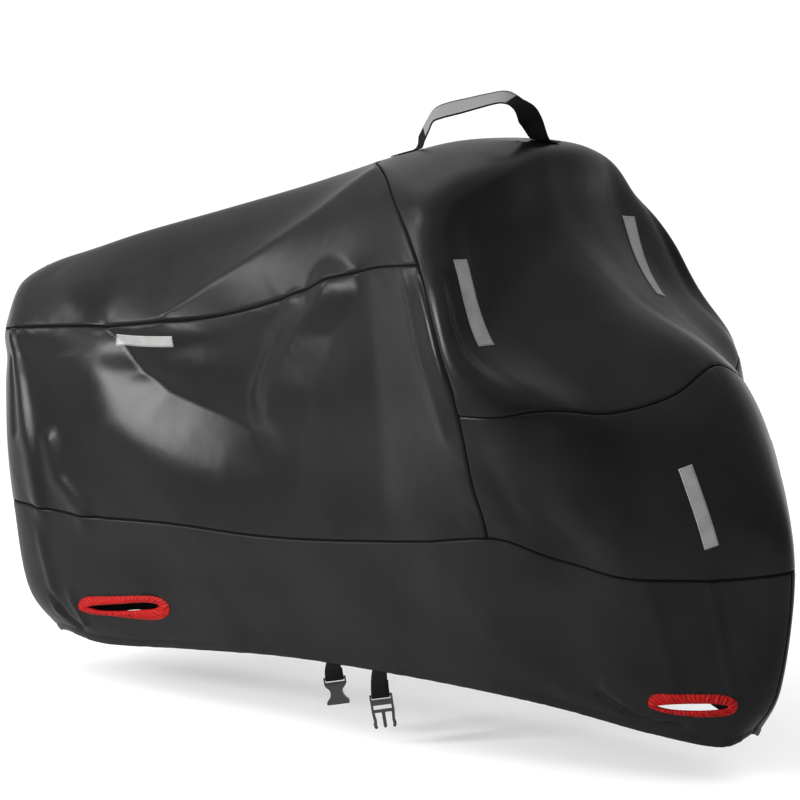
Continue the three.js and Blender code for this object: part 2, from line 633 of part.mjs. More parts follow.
// A place beside a strap's bar: along its turned and slanted width, off it, and up.
function besideBar(strap, barY, share) {
  const swing = new THREE.Euler(0, THREE.MathUtils.degToRad(STRAP.slant * share),
    THREE.MathUtils.degToRad(STRAP.turn * share), 'ZYX');
  const middle = new THREE.Vector3(strap.x, barY, strap.bar);
  return (along, off, up) => new THREE.Vector3(along, off, up).applyEuler(swing).add(middle);
}

// The webbing runs from inside the skirt down past the hem, round the bar and back up behind. Each
// place of its path is off the bar's middle, up from it, and the share of the turn it has there.
function strapRows(strap) {
  const { over, under, bend, close, rest, hemClear, hemDrop, skin } = LOOP_ROUND;
  const hem = Math.max(...strapEdges(strap.x).map(hemHeight));
  const inside = CLOTH + 2 * STRAP.clear + STRAP.thick + skin;
  const hang = skirtReach(strap.x, hem + hemClear) + inside;
  const reach = BAR.halfDepth + STRAP.clear;
  const barY = hang + reach;
  const sewnAt = (height) => [skirtReach(strap.x, hem + height) + inside - barY, hem + height - strap.bar, 0];
  const path = [
    sewnAt(STRAP.sewn), sewnAt(STRAP.sewn / 2),
    [-reach, hem + hemClear - strap.bar, 0], [-reach, hem - hemDrop - strap.bar, 0.1],
    [-reach, BAR.top + close, 0.7], [-reach, BAR.top + over, 1], [-reach, BAR.bottom, 1],
    [-bend, BAR.bottom - under, 1], [bend, BAR.bottom - under, 1],
    [reach, BAR.bottom, 1], [reach, BAR.top + over, 1],
    [rest, BAR.top + close, 0.7], [0, BAR.top + Math.min(STRAP.tail, hem - strap.bar - close), 0.2]];
  const places = path.map(([off, up, share]) => {
    const at = besideBar(strap, barY, share);
    return { middle: at(0, off, up), across: at(-1, off, up).sub(at(0, off, up)) };
  });
  const rows = places.map(({ middle, across }, i) => {
    const way = places[Math.min(i + 1, places.length - 1)].middle.clone()
      .sub(places[Math.max(i - 1, 0)].middle);
    way.addScaledVector(across, -way.dot(across)).normalize();
    return { middle, across, out: across.clone().cross(way) };
  });
  return { rows, barY };
}

// A flat outline in the strap's plane, [x, z] from the middle of the bar, made thick along Y.
function plate(outline, thick) {
  const shape = new THREE.Shape(outline.map(([x, z]) => new THREE.Vector2(x, z)));
  const geometry = new THREE.ExtrudeGeometry(shape, { depth: thick, bevelEnabled: false });
  return toSolid(geometry.translate(0, 0, -thick / 2).rotateX(Math.PI / 2));
}

function box(halfWidth, halfDepth, top, bottom) {
  const geometry = new THREE.BoxGeometry(2 * halfWidth, 2 * halfDepth, top - bottom);
  return toSolid(geometry.translate(0, 0, (top + bottom) / 2));
}

const RIGHT_THROUGH = 20;
const webbingSlot = () => box(SLOT.halfWidth, RIGHT_THROUGH, BAR.bottom, SLOT.bottom);

function socketSolid() {
  const { mouth, flare, thick } = SOCKET;
  const foot = SOCKET_BODY.reduce((low, [, z]) => Math.min(low, z), 0) - 1;
  return plate(COLLAR, 2 * BAR.halfDepth).add(plate(SOCKET_BODY, thick))
    .subtract(webbingSlot())
    .subtract(box(mouth.halfWidth, mouth.halfDepth, mouth.top, foot))
    .subtract(box(flare.halfWidth, mouth.halfDepth, flare.top, foot));
}

function plugSolid() {
  const otherSide = (outline) => outline.map(([x, z]) => [-x, z]).reverse();
  return plate(PLUG_FRAME, 2 * BAR.halfDepth)
    .subtract(webbingSlot())
    .subtract(plate(PLUG_WINDOW, RIGHT_THROUGH))
    .add(plate(PLUG_ARM, PLUG.thick)).add(plate(otherSide(PLUG_ARM), PLUG.thick))
    .add(plate(PLUG_GUIDE, PLUG.thick));
}

const BUCKLE_HALVES = { socket_strap: ['buckle_socket', socketSolid], plug_strap: ['buckle_plug', plugSolid] };
for (const strap of BELLY_STRAPS) {
  const { rows, barY } = strapRows(strap);
  addPiece(strap.name, webbingGeometry(rows, STRAP.width, STRAP.thick, 0, null), 'webbing');
  const [name, solid] = BUCKLE_HALVES[strap.name];
  const hung = solid().rotate([0, STRAP.slant, STRAP.turn]).translate([strap.x, barY, strap.bar]);
  addPiece(name, fromSolid(hung), 'buckle');
}

export default cover;
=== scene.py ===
import bpy
import bmesh
import math
from mathutils import Matrix, Vector, noise
from mathutils.bvhtree import BVHTree


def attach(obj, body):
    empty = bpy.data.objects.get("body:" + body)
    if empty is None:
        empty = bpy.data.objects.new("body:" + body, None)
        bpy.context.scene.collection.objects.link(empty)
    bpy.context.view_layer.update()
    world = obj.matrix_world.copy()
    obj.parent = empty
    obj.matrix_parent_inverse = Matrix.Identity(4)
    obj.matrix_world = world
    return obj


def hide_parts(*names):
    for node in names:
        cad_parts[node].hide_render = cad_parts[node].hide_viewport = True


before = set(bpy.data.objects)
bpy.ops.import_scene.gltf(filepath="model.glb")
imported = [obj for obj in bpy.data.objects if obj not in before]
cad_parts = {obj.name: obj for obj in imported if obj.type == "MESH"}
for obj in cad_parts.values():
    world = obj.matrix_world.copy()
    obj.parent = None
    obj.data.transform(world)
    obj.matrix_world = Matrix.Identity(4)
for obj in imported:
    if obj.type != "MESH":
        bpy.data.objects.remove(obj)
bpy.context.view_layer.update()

# Studio. A pale floor that runs past the picture on every side, a soft light low beside the
# cover's tail, a smaller one behind it, daylight from above, and a long lens at the nose quarter.

# Places and sizes are in metres, turns and spreads in degrees.
CAMERA = {"place": (8.667, -12.319, 2.578), "turn": (78.1713, 0.0, 35.8946), "lens": 315.0, "sensor": 36.0,
          "sees": 100.0}
FLOOR = {"z": -1.335, "size": 60.0, "colour": "e4e4e4", "roughness": 0.9, "glow": 0.26}
LIGHTS = [
    {"name": "key", "place": (-3.3, -5.0, 0.9), "size": 2.0, "power": 52.0, "spread": 48.0},
    {"name": "tail light", "place": (-5.0, -1.8, 1.2), "size": 1.2, "power": 6.5, "spread": 60.0},
]
DAYLIGHT = {"from": (-0.12, -0.08, 1.0), "strength": 1.6, "angle": 120.0}
LIT_POINT = Vector((-0.25, 0.0, -0.6))
SKY = {"colour": "ffffff", "strength": 0.6}


def linear(colour):
    """A hex colour as it is seen, as the linear numbers that a shader takes."""
    parts = [int(colour[i:i + 2], 16) / 255 for i in (0, 2, 4)]
    return [p / 12.92 if p <= 0.04045 else ((p + 0.055) / 1.055) ** 2.4 for p in parts] + [1.0]


def add_node(tree, kind, inputs=(), feeds=None, stops=(), **settings):
    """A shader node with its settings made, its inputs set or linked, its colour stops placed, and
    its first output linked to the input that it feeds."""
    node = tree.nodes.new("ShaderNode" + kind)
    for key, value in settings.items():
        setattr(node, key, value)
    for key, value in dict(inputs).items():
        if isinstance(value, bpy.types.NodeSocket):
            tree.links.new(value, node.inputs[key])
        else:
            node.inputs[key].default_value = value
    for number, (position, colour) in enumerate(stops):
        node.color_ramp.elements[number].position = position
        node.color_ramp.elements[number].color = linear(colour)
    if feeds is not None:
        tree.links.new(node.outputs[0], feeds)
    return node


def new_finish(name, colour, roughness, gloss=0.5):
    """A material with a plain principled shader, its node tree and that shader."""
    material = bpy.data.materials.new(name)
    material.use_nodes = True
    shader = material.node_tree.nodes["Principled BSDF"]
    shader.inputs["Base Color"].default_value = linear(colour)
    shader.inputs["Roughness"].default_value = roughness
    shader.inputs["Specular IOR Level"].default_value = gloss
    return material, material.node_tree, shader


def put_in_scene(name, data):
    """A new object that holds a mesh, a light or a camera."""
    holder = bpy.data.objects.new(name, data)
    bpy.context.collection.objects.link(holder)
    return holder


camera = put_in_scene("camera", bpy.data.cameras.new("camera"))
camera.location = CAMERA["place"]
camera.rotation_euler = [math.radians(angle) for angle in CAMERA["turn"]]
camera.data.lens = CAMERA["lens"]
camera.data.sensor_width = CAMERA["sensor"]
camera.data.clip_end = CAMERA["sees"]
bpy.context.scene.camera = camera

for light in LIGHTS:
    lamp = bpy.data.lights.new(light["name"], "AREA")
    lamp.energy = light["power"]
    lamp.size = light["size"]
    lamp.spread = math.radians(light["spread"])
    stand = put_in_scene(light["name"], lamp)
    stand.location = light["place"]
    stand.rotation_euler = (LIT_POINT - Vector(light["place"])).to_track_quat("-Z", "Y").to_euler()

lamp = bpy.data.lights.new("daylight", "SUN")
lamp.energy = DAYLIGHT["strength"]
lamp.angle = math.radians(DAYLIGHT["angle"])
stand = put_in_scene("daylight", lamp)
stand.rotation_euler = (-Vector(DAYLIGHT["from"])).to_track_quat("-Z", "Y").to_euler()
bpy.context.scene.view_settings.view_transform = "Standard"

world = bpy.data.worlds.new("studio")
world.use_nodes = True
world.node_tree.nodes["Background"].inputs["Color"].default_value = linear(SKY["colour"])
world.node_tree.nodes["Background"].inputs["Strength"].default_value = SKY["strength"]
bpy.context.scene.world = world

bpy.ops.mesh.primitive_plane_add(size=FLOOR["size"], location=(0, 0, FLOOR["z"]))
floor = bpy.context.object
floor.name = "floor"
# Matt paper, which shows no reflection. It glows a little, so that the shadow on it stays light.
matt_floor, _, shader = new_finish("matt_paper_floor", FLOOR["colour"], FLOOR["roughness"])
shader.inputs["Emission Color"].default_value = linear("ffffff")
shader.inputs["Emission Strength"].default_value = FLOOR["glow"]
floor.data.materials.append(matt_floor)

# Cloth. The cover is cut from coated black oxford cloth: a saddle panel and a side panel each way
# behind the bar seam, a screen panel and a fairing panel before it, and a skirt down each side.

# The table gives the draped outer face in millimetres, as x, half width and height above the ground
# where each section from the tail to the nose crosses each loop from the hem to the spine.
CARRY = Vector((300.0, 0.0, 1335.0))
MM = 0.001
CLOTH_THICK = 1.8
SECTIONS = [
    ((-893, 0, 76), (-939, 0, 178), (-979, 0, 358), (-997, 0, 514),
     (-1015, 0, 644), (-1025, 0, 709), (-1033, 0, 771), (-1016, 0, 872), (-941, 0, 925)),
    ((-860, 69, 86), (-925, 108, 192), (-948, 128, 393), (-957, 134, 533),
     (-969, 128, 657), (-970, 123, 724), (-976, 119, 791), (-956, 74, 885), (-895, 0, 945)),
    ((-799, 125, 105), (-835, 170, 194), (-856, 208, 411), (-866, 221, 551),
     (-867, 208, 680), (-865, 198, 749), (-864, 188, 820), (-837, 107, 915), (-808, 0, 977)),
    ((-656, 168, 103), (-645, 203, 189), (-641, 250, 417), (-639, 261, 577),
     (-638, 248, 720), (-637, 235, 792), (-639, 219, 860), (-645, 126, 962), (-659, 0, 1033)),
    ((-403, 197, 133), (-394, 224, 204), (-389, 265, 435), (-389, 281, 603),
     (-387, 268, 757), (-386, 250, 828), (-385, 229, 894), (-416, 134, 1020), (-455, 0, 1101)),
    ((-89, 223, 164), (-83, 244, 232), (-75, 296, 450), (-76, 316, 642),
     (-77, 309, 799), (-77, 287, 896), (-78, 264, 983), (-149, 155, 1109), (-237, 0, 1175)),
    ((235, 229, 170), (242, 252, 239), (259, 326, 492), (258, 362, 665),
     (254, 375, 821), (233, 357, 953), (192, 322, 1087), (42, 191, 1193), (-96, 0, 1226)),
    ((498, 221, 162), (506, 248, 242), (528, 342, 539), (530, 404, 677),
     (540, 466, 832), (489, 470, 972), (395, 406, 1133), (201, 235, 1258), (14, 0, 1267)),
    ((646, 191, 144), (657, 220, 231), (675, 289, 503), (685, 333, 648),
     (691, 371, 846), (533, 411, 973), (442, 374, 1154), (336, 303, 1271), (106, 0, 1298)),
    ((813, 133, 108), (828, 167, 197), (846, 225, 474), (838, 250, 628),
     (779, 245, 830), (555, 282, 988), (453, 262, 1155), (388, 239, 1298), (200, 0, 1325)),
    ((954, 68, 85), (980, 91, 198), (982, 115, 467), (971, 140, 635),
     (864, 133, 860), (599, 148, 1013), (473, 134, 1161), (424, 127, 1310), (291, 0, 1337)),
    ((988, 0, 104), (1056, 0, 216), (1088, 0, 478), (1032, 0, 663),
     (884, 0, 907), (632, 0, 1033), (484, 0, 1164), (436, 0, 1312), (371, 0, 1344)),
]
NOSE, SPINE = 11, 8
BAR_SEAM, SKIRT_SEAM, FRONT_SEAM, SIDE_SEAM = 7, 2, 4, 6

# The pitch is about how far apart sections and loops lie. The folds of the left-hand half are lower,
# and all folds fade near the middle plane. At FADED times its width a fold has faded out.
FOLD_PITCH = (225.0, 145.0)
FAR_FOLD_SHARE = 0.6
CENTRE_BLEND = 160.0
FADED = 4
FORMS = {
    "round": lambda reach: math.exp(-reach * reach),
    "keen": lambda reach: math.exp(-reach),
    "planed": lambda reach: max(0.0, 1.0 - reach),
}
# Ridges (height above 0) and troughs (below 0). A row gives a fold's form, how far it fades to the
# left and to the right of its path, its height and the half width of a flat crest, in millimetres,
# and its path as (section, loop) places.
FOLDS = {
    "saddle ridge": ("keen", 130, 42, 23, 0,
        [(6.9, 7.3), (5.85, 7.1), (5.15, 6.9), (4.7, 6.7), (4.3, 6.5), (3.85, 6.15)]),
    "saddle hollow left": ("round", 60, 60, -5, 0, [(5.8, 7.3), (4.6, 7.1), (3.8, 6.75)]),
    "tail crown ridge": ("round", 60, 40, 6, 0, [(2.05, 7.1), (3, 6.05)]),
    "swag groove": ("keen", 95, 120, -34, 0,
        [(3.05, 6.05), (3.3, 5.35), (3.6, 4.3), (3.9, 3.85), (4.25, 3.6), (4.65, 3.35), (4.95, 3.25)]),
    "pocket": ("round", 130, 110, -16, 10, [(4.4, 5.65), (4.55, 3.9)]),
    "swag": ("round", 60, 80, 8, 0, [(2.9, 4.9), (3.3, 3.4), (4, 2.7), (4.5, 2.5), (4.95, 2.65)]),
    "stay crest": ("planed", 76, 60, 20, 0, [(5.55, 5.9), (5.25, 5.25), (5.05, 4.05), (4.95, 3.5)]),
    "second stay crest": ("planed", 42, 36, 10, 0, [(5.15, 5.85), (5, 5.2), (4.85, 3.8)]),
    "stay foot": ("round", 50, 60, 8, 0, [(5.2, 3.8), (5.1, 3.25)]),
    "tail pleat": ("round", 20, 36, 10, 0, [(1.7, 5.8), (2.1, 3.75), (2.3, 2.85), (2.35, 2.05)]),
    "tail pleat shade": ("round", 18, 18, -5, 0, [(1.6, 4.95), (1.95, 3.25)]),
    "tail corner pleat": ("round", 18, 30, 9, 0, [(2.55, 3.1), (2.65, 2.5), (2.95, 2.05)]),
    "knee hollow": ("round", 40, 90, -9, 0, [(5.95, 5.55), (5.95, 4), (5.95, 2.6)]),
    "bar pleat": ("keen", 20, 16, 6, 0, [(6.65, 5.85), (6.65, 5.05), (6.75, 4.25), (6.8, 3.65)]),
    "bar pleat shade": ("round", 14, 10, -5, 0, [(6.95, 5.8), (7, 5.1), (7, 4.35)]),
    "screen ridge": ("round", 45, 60, 8, 0, [(7.55, 5.35), (7.55, 4.6), (7.55, 4.05)]),
    "screen hollow": ("round", 110, 110, -6, 0, [(10.75, 6.6), (10.65, 5.55), (9.9, 4.8)]),
    "fairing ridge": ("round", 100, 80, 24, 0, [(7.65, 3.85), (8.15, 3.35), (8.6, 2.75), (8.75, 2.45)]),
    "fairing hollow": ("round", 40, 40, -6, 0, [(7.25, 3.3), (7.5, 2.5)]),
    "fork ridge": ("round", 60, 50, 10, 0, [(6.5, 1.8), (7.05, 1.35), (7.9, 0.95)]),
    "fork hollow": ("round", 55, 55, -8, 0, [(7.2, 1.75), (7.95, 1.35)]),
    "fork pleat": ("round", 22, 12, 7, 0, [(9.85, 1.95), (10, 1.45), (10.15, 0.95)]),
    "fork pleat shade": ("round", 16, 16, -6, 0, [(9.95, 1.85), (10.1, 1.35), (10.25, 1)]),
    "nose pleat": ("round", 14, 14, -5, 0, [(10.45, 1.65), (10.55, 1.15)]),
    "axle pleat": ("round", 24, 24, 5, 0, [(9.1, 1.85), (9.25, 1.45), (9.35, 1.2)]),
    "hem gather front": ("round", 16, 12, -10, 0, [(8.4, 0.8), (8.9, 0.5), (9.4, 0.45)]),
    "hem gather front second": ("round", 14, 10, 7, 0, [(8.5, 1), (8.85, 0.75), (9.15, 0.6)]),
    "hem gather rear": ("round", 14, 12, -11, 0, [(2.25, 1), (2.4, 0.65), (2.6, 0.4)]),
    "hem gather rear second": ("round", 10, 10, 7, 0, [(2.6, 1.1), (2.7, 0.85), (2.75, 0.6)]),
    "tail skirt pleat": ("round", 18, 18, 6, 0, [(2.25, 1.6), (2.3, 1.25), (2.25, 0.8)]),
    "belly hollow": ("round", 70, 70, -6, 0, [(5.15, 1.4), (5.85, 1.4), (6.4, 1.35)]),
}


def through_four(a, b, c, d, share):
    """A smooth curve through four neighbours, at a share of the way from the second to the third."""
    square, cube = share ** 2, share ** 3
    return (a * (-0.5 * cube + square - 0.5 * share) + b * (1.5 * cube - 2.5 * square + 1)
            + c * (-1.5 * cube + 2 * square + 0.5 * share) + d * (0.5 * cube - 0.5 * square))


def table_point(section, loop):
    """A table point. Past the tail, the nose and the spine the far half of the cover carries on."""
    if section < 0 or section > NOSE or loop > SPINE:
        section = -section if section < 0 else min(section, 2 * NOSE - section)
        return table_point(section, min(loop, 2 * SPINE - loop)) * Vector((1, -1, 1))
    if loop < 0:
        return 2 * table_point(section, 0) - table_point(section, -loop)
    return Vector(SECTIONS[section][loop])


def smooth_point(section, loop):
    """A place on the smooth surface through the table, before folds, in millimetres."""
    row, level = min(max(0, int(section)), NOSE - 1), min(max(0, int(loop)), SPINE - 1)
    across = [through_four(*(table_point(row + i, level + j) for j in (-1, 0, 1, 2)), loop - level)
              for i in (-1, 0, 1, 2)]
    return through_four(*across, section - row)


def segment_share(x, y, start, end):
    """How far a place is from a straight line between two others, and on which side of it."""
    run, rise = end[0] - start[0], end[1] - start[1]
    share = ((x - start[0]) * run + (y - start[1]) * rise) / (run * run + rise * rise)
    share = min(1.0, max(0.0, share))
    away = math.hypot(x - start[0] - share * run, y - start[1] - share * rise)
    lean = (run * (y - start[1]) - rise * (x - start[0])) / math.hypot(run, rise) / max(away, 1e-6)
    return away, lean


def pitched(place):
    """A (section, loop) place in rough millimetres along the cloth."""
    return place[0] * FOLD_PITCH[0], place[1] * FOLD_PITCH[1]


def fold_height(section, loop):
    """The height of all folds together at a place, in millimetres."""
    x, y = pitched((section, loop))
    total = 0.0
    for form, left, right, height, flat, path in FOLDS.values():
        places = [pitched(place) for place in path]
        nearest, lean = min(segment_share(x, y, *pair) for pair in zip(places, places[1:]))
        width = (left * (1 + lean) + right * (1 - lean)) / 2
        reach = max(0.0, nearest - flat) / width
        if reach < FADED:
            total += height * FORMS[form](reach)
    return total


# Seams. The panels are lapped and sewn, so the cloth sinks towards each seam and puckers along it.
# A seam runs straight between two (section, loop) places, on both halves of the cover. Its strip is
# that many millimetres wide, and the cloth sinks that many in a valley of its own width.
SEAMS = {
    "side_seam": {"from": (0, SIDE_SEAM), "to": (BAR_SEAM, SIDE_SEAM), "strip": 6.0, "sink": 3.8},
    "skirt_seam": {"from": (0, SKIRT_SEAM), "to": (NOSE, SKIRT_SEAM), "strip": 6.0, "sink": 3.8},
    "bar_seam": {"from": (BAR_SEAM, SPINE), "to": (BAR_SEAM, SKIRT_SEAM), "strip": 6.0, "sink": 3.8},
    "front_seam": {"from": (NOSE, FRONT_SEAM), "to": (BAR_SEAM, FRONT_SEAM), "strip": 3.6, "sink": 2.6},
    "tail_joint": {"from": (0, SKIRT_SEAM), "to": (0, 0), "strip": 3.6, "sink": 2.6},
    "nose_joint": {"from": (NOSE, SKIRT_SEAM), "to": (NOSE, 0), "strip": 3.6, "sink": 2.6},
}
VALLEY = 3.6
PUCKER = {"height": 1.3, "length": 26.0, "reach": 20.0, "stretch": 3}
# The hem's rolled channel, the groove of its stitches and its gathers, in millimetres from the edge.
HEM = {"channel": 9.0, "rise": 1.5, "stitch": 19.0, "dip": 0.8, "groove": 3.0,
       "gather": 1.6, "length": 22.0, "reach": 34.0, "fade": 60.0, "seed": 9}

drape = {}


def drape_at(section, loop):
    """The smooth place, its normal, its folds and the real length of a section and of a loop there."""
    key = (round(section, 5), round(loop, 5))
    if key not in drape:
        nudge = 0.02
        along = (smooth_point(section + nudge, loop) - smooth_point(section - nudge, loop)) / (2 * nudge)
        up = (smooth_point(section, loop + nudge) - smooth_point(section, loop - nudge)) / (2 * nudge)
        drape[key] = (smooth_point(section, loop), up.cross(along).normalized(), fold_height(section, loop),
                      along.length, up.length)
    return drape[key]


def seam_pull(section, loop):
    """How far the cloth sinks at the seams near a place, and how far it puckers, in millimetres."""
    _, _, _, width, height = drape_at(section, loop)
    sink = pucker = 0.0
    for number, seam in enumerate(SEAMS.values()):
        start, end = seam["from"], seam["to"]
        beside = max(min(start[0], end[0]) - section, 0, section - max(start[0], end[0])) * width
        above = max(min(start[1], end[1]) - loop, 0, loop - max(start[1], end[1])) * height
        away = math.hypot(beside, above)
        if away < FADED * PUCKER["reach"]:
            run = section * FOLD_PITCH[0] + loop * FOLD_PITCH[1]
            wave = noise.noise((run / PUCKER["length"], away / PUCKER["stretch"] / PUCKER["length"], number))
            pucker += PUCKER["height"] * wave * math.exp(-away / PUCKER["reach"])
            sink += seam["sink"] * math.exp(-(away / VALLEY) ** 2)
    return sink, pucker


def hem_rise(section, loop):
    """The rolled channel of the hem, the dip of its stitches and its gathers, in millimetres."""
    away = max(0.0, loop * drape_at(section, loop)[4])
    if away > FADED * HEM["reach"]:
        return 0.0
    roll = HEM["rise"] * math.sqrt(max(0.0, 1 - (away / HEM["channel"] - 1) ** 2))
    dip = HEM["dip"] * math.exp(-((away - HEM["stitch"]) / HEM["groove"]) ** 2)
    wave = noise.noise((section * FOLD_PITCH[0] / HEM["length"], away / HEM["fade"], HEM["seed"]))
    return roll - dip + HEM["gather"] * wave * math.exp(-(away / HEM["reach"]) ** 2)


def cloth_point(section, loop, side, lift=0.0):
    """A place on the cloth's outer face in metres, or lift millimetres above it. side is -1 on the
    right-hand half and 1 on the left-hand half."""
    point, normal, height, _, _ = drape_at(section, loop)
    off_centre = min(1.0, abs(point.y) / CENTRE_BLEND)
    share = FAR_FOLD_SHARE if side > 0 else 1.0
    moved = point + normal * (height * off_centre * share + lift)
    moved.y = max(0.0, moved.y) * side
    return (moved - CARRY) * MM


def panel_point(section, loop, side):
    """A place on a panel's outer face in metres, with the seams, the puckers and the hem on it."""
    sink, pucker = seam_pull(section, loop)
    return cloth_point(section, loop, side, pucker - sink + hem_rise(section, loop))


# Corners of a sheet nearer than this, in metres, are one.
WELD = 1e-5


def finished(name, mesh):
    """The object made of a bmesh, which is then let go."""
    data = bpy.data.meshes.new(name)
    mesh.to_mesh(data)
    mesh.free()
    return put_in_scene(name, data)


def lay_grid(name, columns, rows, place, flip=False):
    """A sheet of columns by rows cells, each corner put where place(column, row) says, welded where
    its edges meet, with its own lengths along both ways as the UV map. It starts as a flat sheet
    one metre wide about its middle."""
    mesh = bmesh.new()
    bmesh.ops.create_grid(mesh, x_segments=columns, y_segments=rows, size=0.5)
    corner = {}
    for vert in mesh.verts:
        spot = (round((vert.co.x + 0.5) * columns), round((vert.co.y + 0.5) * rows))
        corner[vert] = spot
        vert.co = place(*spot)
    at = {spot: vert.co.copy() for vert, spot in corner.items()}
    along, across = [0.0], [0.0]
    for i in range(columns):
        along.append(along[-1] + (at[i + 1, rows // 2] - at[i, rows // 2]).length)
    for j in range(rows):
        across.append(across[-1] + (at[columns // 2, j + 1] - at[columns // 2, j]).length)
    chart = mesh.loops.layers.uv.new("cut")
    for face in mesh.faces:
        face.smooth = True
        for loop in face.loops:
            i, j = corner[loop.vert]
            loop[chart].uv = (along[i], across[j])
    if flip:
        bmesh.ops.reverse_faces(mesh, faces=mesh.faces)
    bmesh.ops.remove_doubles(mesh, verts=mesh.verts, dist=WELD)
    return finished(name, mesh)


def thicken(piece, thickness, offset=-1.0):
    """Give a sheet its thickness, its outer face staying where it is unless offset is 0."""
    solid = piece.modifiers.new("thickness", "SOLIDIFY")
    solid.thickness = thickness
    solid.offset = offset
    solid.use_quality_normals = True


# Where the cells of a panel lie: even ones, with narrow ones along each seam and along the hem.
# Cells are counted to a section or a loop, and the steps are millimetres from the panel's edge.
CELLS = {"section": 24, "loop": 15}
SEAM_STEPS = (1.6, 3.4, 5.4, 8.0, 12.0, 18.0)
HEM_STEPS = (2.0, 5.0, 9.0, 13.0, 17.0, 20.0, 24.0, 30.0)


def cell_lines(first, last, cells, pitch, near_first, near_last):
    """The sections or loops at which a panel's cells begin, from its first edge to its last."""
    lines = {round(first + i / cells, 5) for i in range(round((last - first) * cells) + 1)}
    lines |= {round(first + step / pitch, 5) for step in near_first}
    lines |= {round(last - step / pitch, 5) for step in near_last}
    return sorted(lines)


# A wave texture at scale 1 repeats after this many metres.
WAVE = 0.314


def weave_height(tree, chart, pitch):
    """The height of a plain weave whose threads lie pitch metres apart."""
    waves = [add_node(tree, "TexWave", {"Vector": chart, "Scale": WAVE / pitch},
                      bands_direction=way).outputs["Fac"] for way in "XY"]
    return add_node(tree, "Math", {0: waves[0], 1: waves[1]}, operation="MULTIPLY").outputs[0]


# Coated oxford cloth: a plain weave under a thin coat that lifts a soft shine on every ridge. The
# real weave is half a millimetre and can't show, so it is drawn three times as coarse. The black
# varies in patches about 200 mm wide, and the coat is crinkled every 40 mm. The skirt is duller.
WEAVE = 0.0016
CLOTHS = {
    "panel": {"dark": "0d0d0d", "light": "151515", "roughness": 0.28, "gloss": 0.1},
    "skirt": {"dark": "131313", "light": "1a1a1a", "roughness": 0.42, "gloss": 0.07},
}
cloths = {}
for kind, look in CLOTHS.items():
    cloths[kind], tree, shader = new_finish(f"coated_oxford_{kind}", look["dark"], look["roughness"],
                                            look["gloss"])
    chart = add_node(tree, "UVMap", uv_map="cut").outputs["UV"]
    place = add_node(tree, "TexCoord").outputs["Object"]
    worn = add_node(tree, "TexNoise", {"Vector": place, "Scale": 5.0, "Detail": 3.0,
                                       "Roughness": 0.5}).outputs["Fac"]
    crinkle = add_node(tree, "TexNoise", {"Vector": place, "Scale": 26.0, "Detail": 2.0,
                                          "Roughness": 0.45}).outputs["Fac"]
    add_node(tree, "ValToRGB", {"Fac": worn}, feeds=shader.inputs["Base Color"],
             stops=((0.35, look["dark"]), (0.65, look["light"])))
    soft = add_node(tree, "Bump", {"Height": crinkle, "Strength": 0.3, "Distance": 0.002})
    add_node(tree, "Bump", {"Height": weave_height(tree, chart, WEAVE), "Strength": 0.12,
                            "Distance": 0.0003, "Normal": soft.outputs["Normal"]},
             feeds=shader.inputs["Normal"])

# The span says which way a panel runs on over the middle plane, or else which half it is on.
PANELS = [
    {"name": "saddle_panel", "sections": (0, BAR_SEAM), "loops": (SIDE_SEAM, SPINE), "span": "spine",
     "flat": (1.30, 0.86), "held": "draped"},
    {"name": "screen_panel", "sections": (BAR_SEAM, NOSE), "loops": (FRONT_SEAM, SPINE), "span": "spine",
     "flat": (1.10, 1.00), "held": "draped"},
    {"name": "fairing_panel", "sections": (BAR_SEAM, NOSE), "loops": (SKIRT_SEAM, FRONT_SEAM), "span": "nose",
     "flat": (1.5, 0.45), "held": "hung"},
]
for half in ("right", "left"):
    PANELS.append({"name": f"{half}_side_panel", "sections": (0, BAR_SEAM), "loops": (SKIRT_SEAM, SIDE_SEAM),
                   "span": half, "flat": (1.75, 0.62), "held": "hung"})
    PANELS.append({"name": f"{half}_skirt_panel", "sections": (0, NOSE), "loops": (0, SKIRT_SEAM),
                   "span": half, "flat": (2.3, 0.42), "held": "gathered"})

skins = {}
for panel in PANELS:
    (rear, front), (low, high) = panel["sections"], panel["loops"]
    sections = cell_lines(rear, front, CELLS["section"], FOLD_PITCH[0],
                          () if panel["span"] != "nose" and rear == 0 and low > 0 else SEAM_STEPS,
                          () if front == NOSE and low > 0 else SEAM_STEPS)
    loops = cell_lines(low, high, CELLS["loop"], FOLD_PITCH[1],
                       HEM_STEPS if low == 0 else SEAM_STEPS, () if high == SPINE else SEAM_STEPS)
    if panel["span"] == "spine":
        track = [(t, -1) for t in loops] + [(t, 1) for t in reversed(loops[:-1])]
        columns, rows = len(sections) - 1, len(track) - 1
        spot = lambda i, j: (sections[i], track[j][0], track[j][1])
    elif panel["span"] == "nose":
        track = [(s, -1) for s in sections] + [(s, 1) for s in reversed(sections[:-1])]
        columns, rows = len(track) - 1, len(loops) - 1
        spot = lambda i, j: (track[i][0], loops[j], track[i][1])
    else:
        facing = -1 if panel["span"] == "right" else 1
        columns, rows = len(sections) - 1, len(loops) - 1
        spot = lambda i, j: (sections[i], loops[j], facing)
    piece = lay_grid(panel["name"] + "_cloth", columns, rows, lambda i, j: panel_point(*spot(i, j)),
                     flip=panel["span"] == "left")
    skins[panel["name"]] = piece
    piece.data.materials.append(cloths["skirt" if "skirt" in panel["name"] else "panel"])
    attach(piece, "root")
    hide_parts(panel["name"])

# The whole outer face as one thing to lay trims on.
shell = bmesh.new()
for piece in skins.values():
    shell.from_mesh(piece.data)
cloth_face = BVHTree.FromBMesh(shell)
shell.free()
# How far off its bed, in metres, a line of sight towards the cloth starts.
SIGHT = 0.3


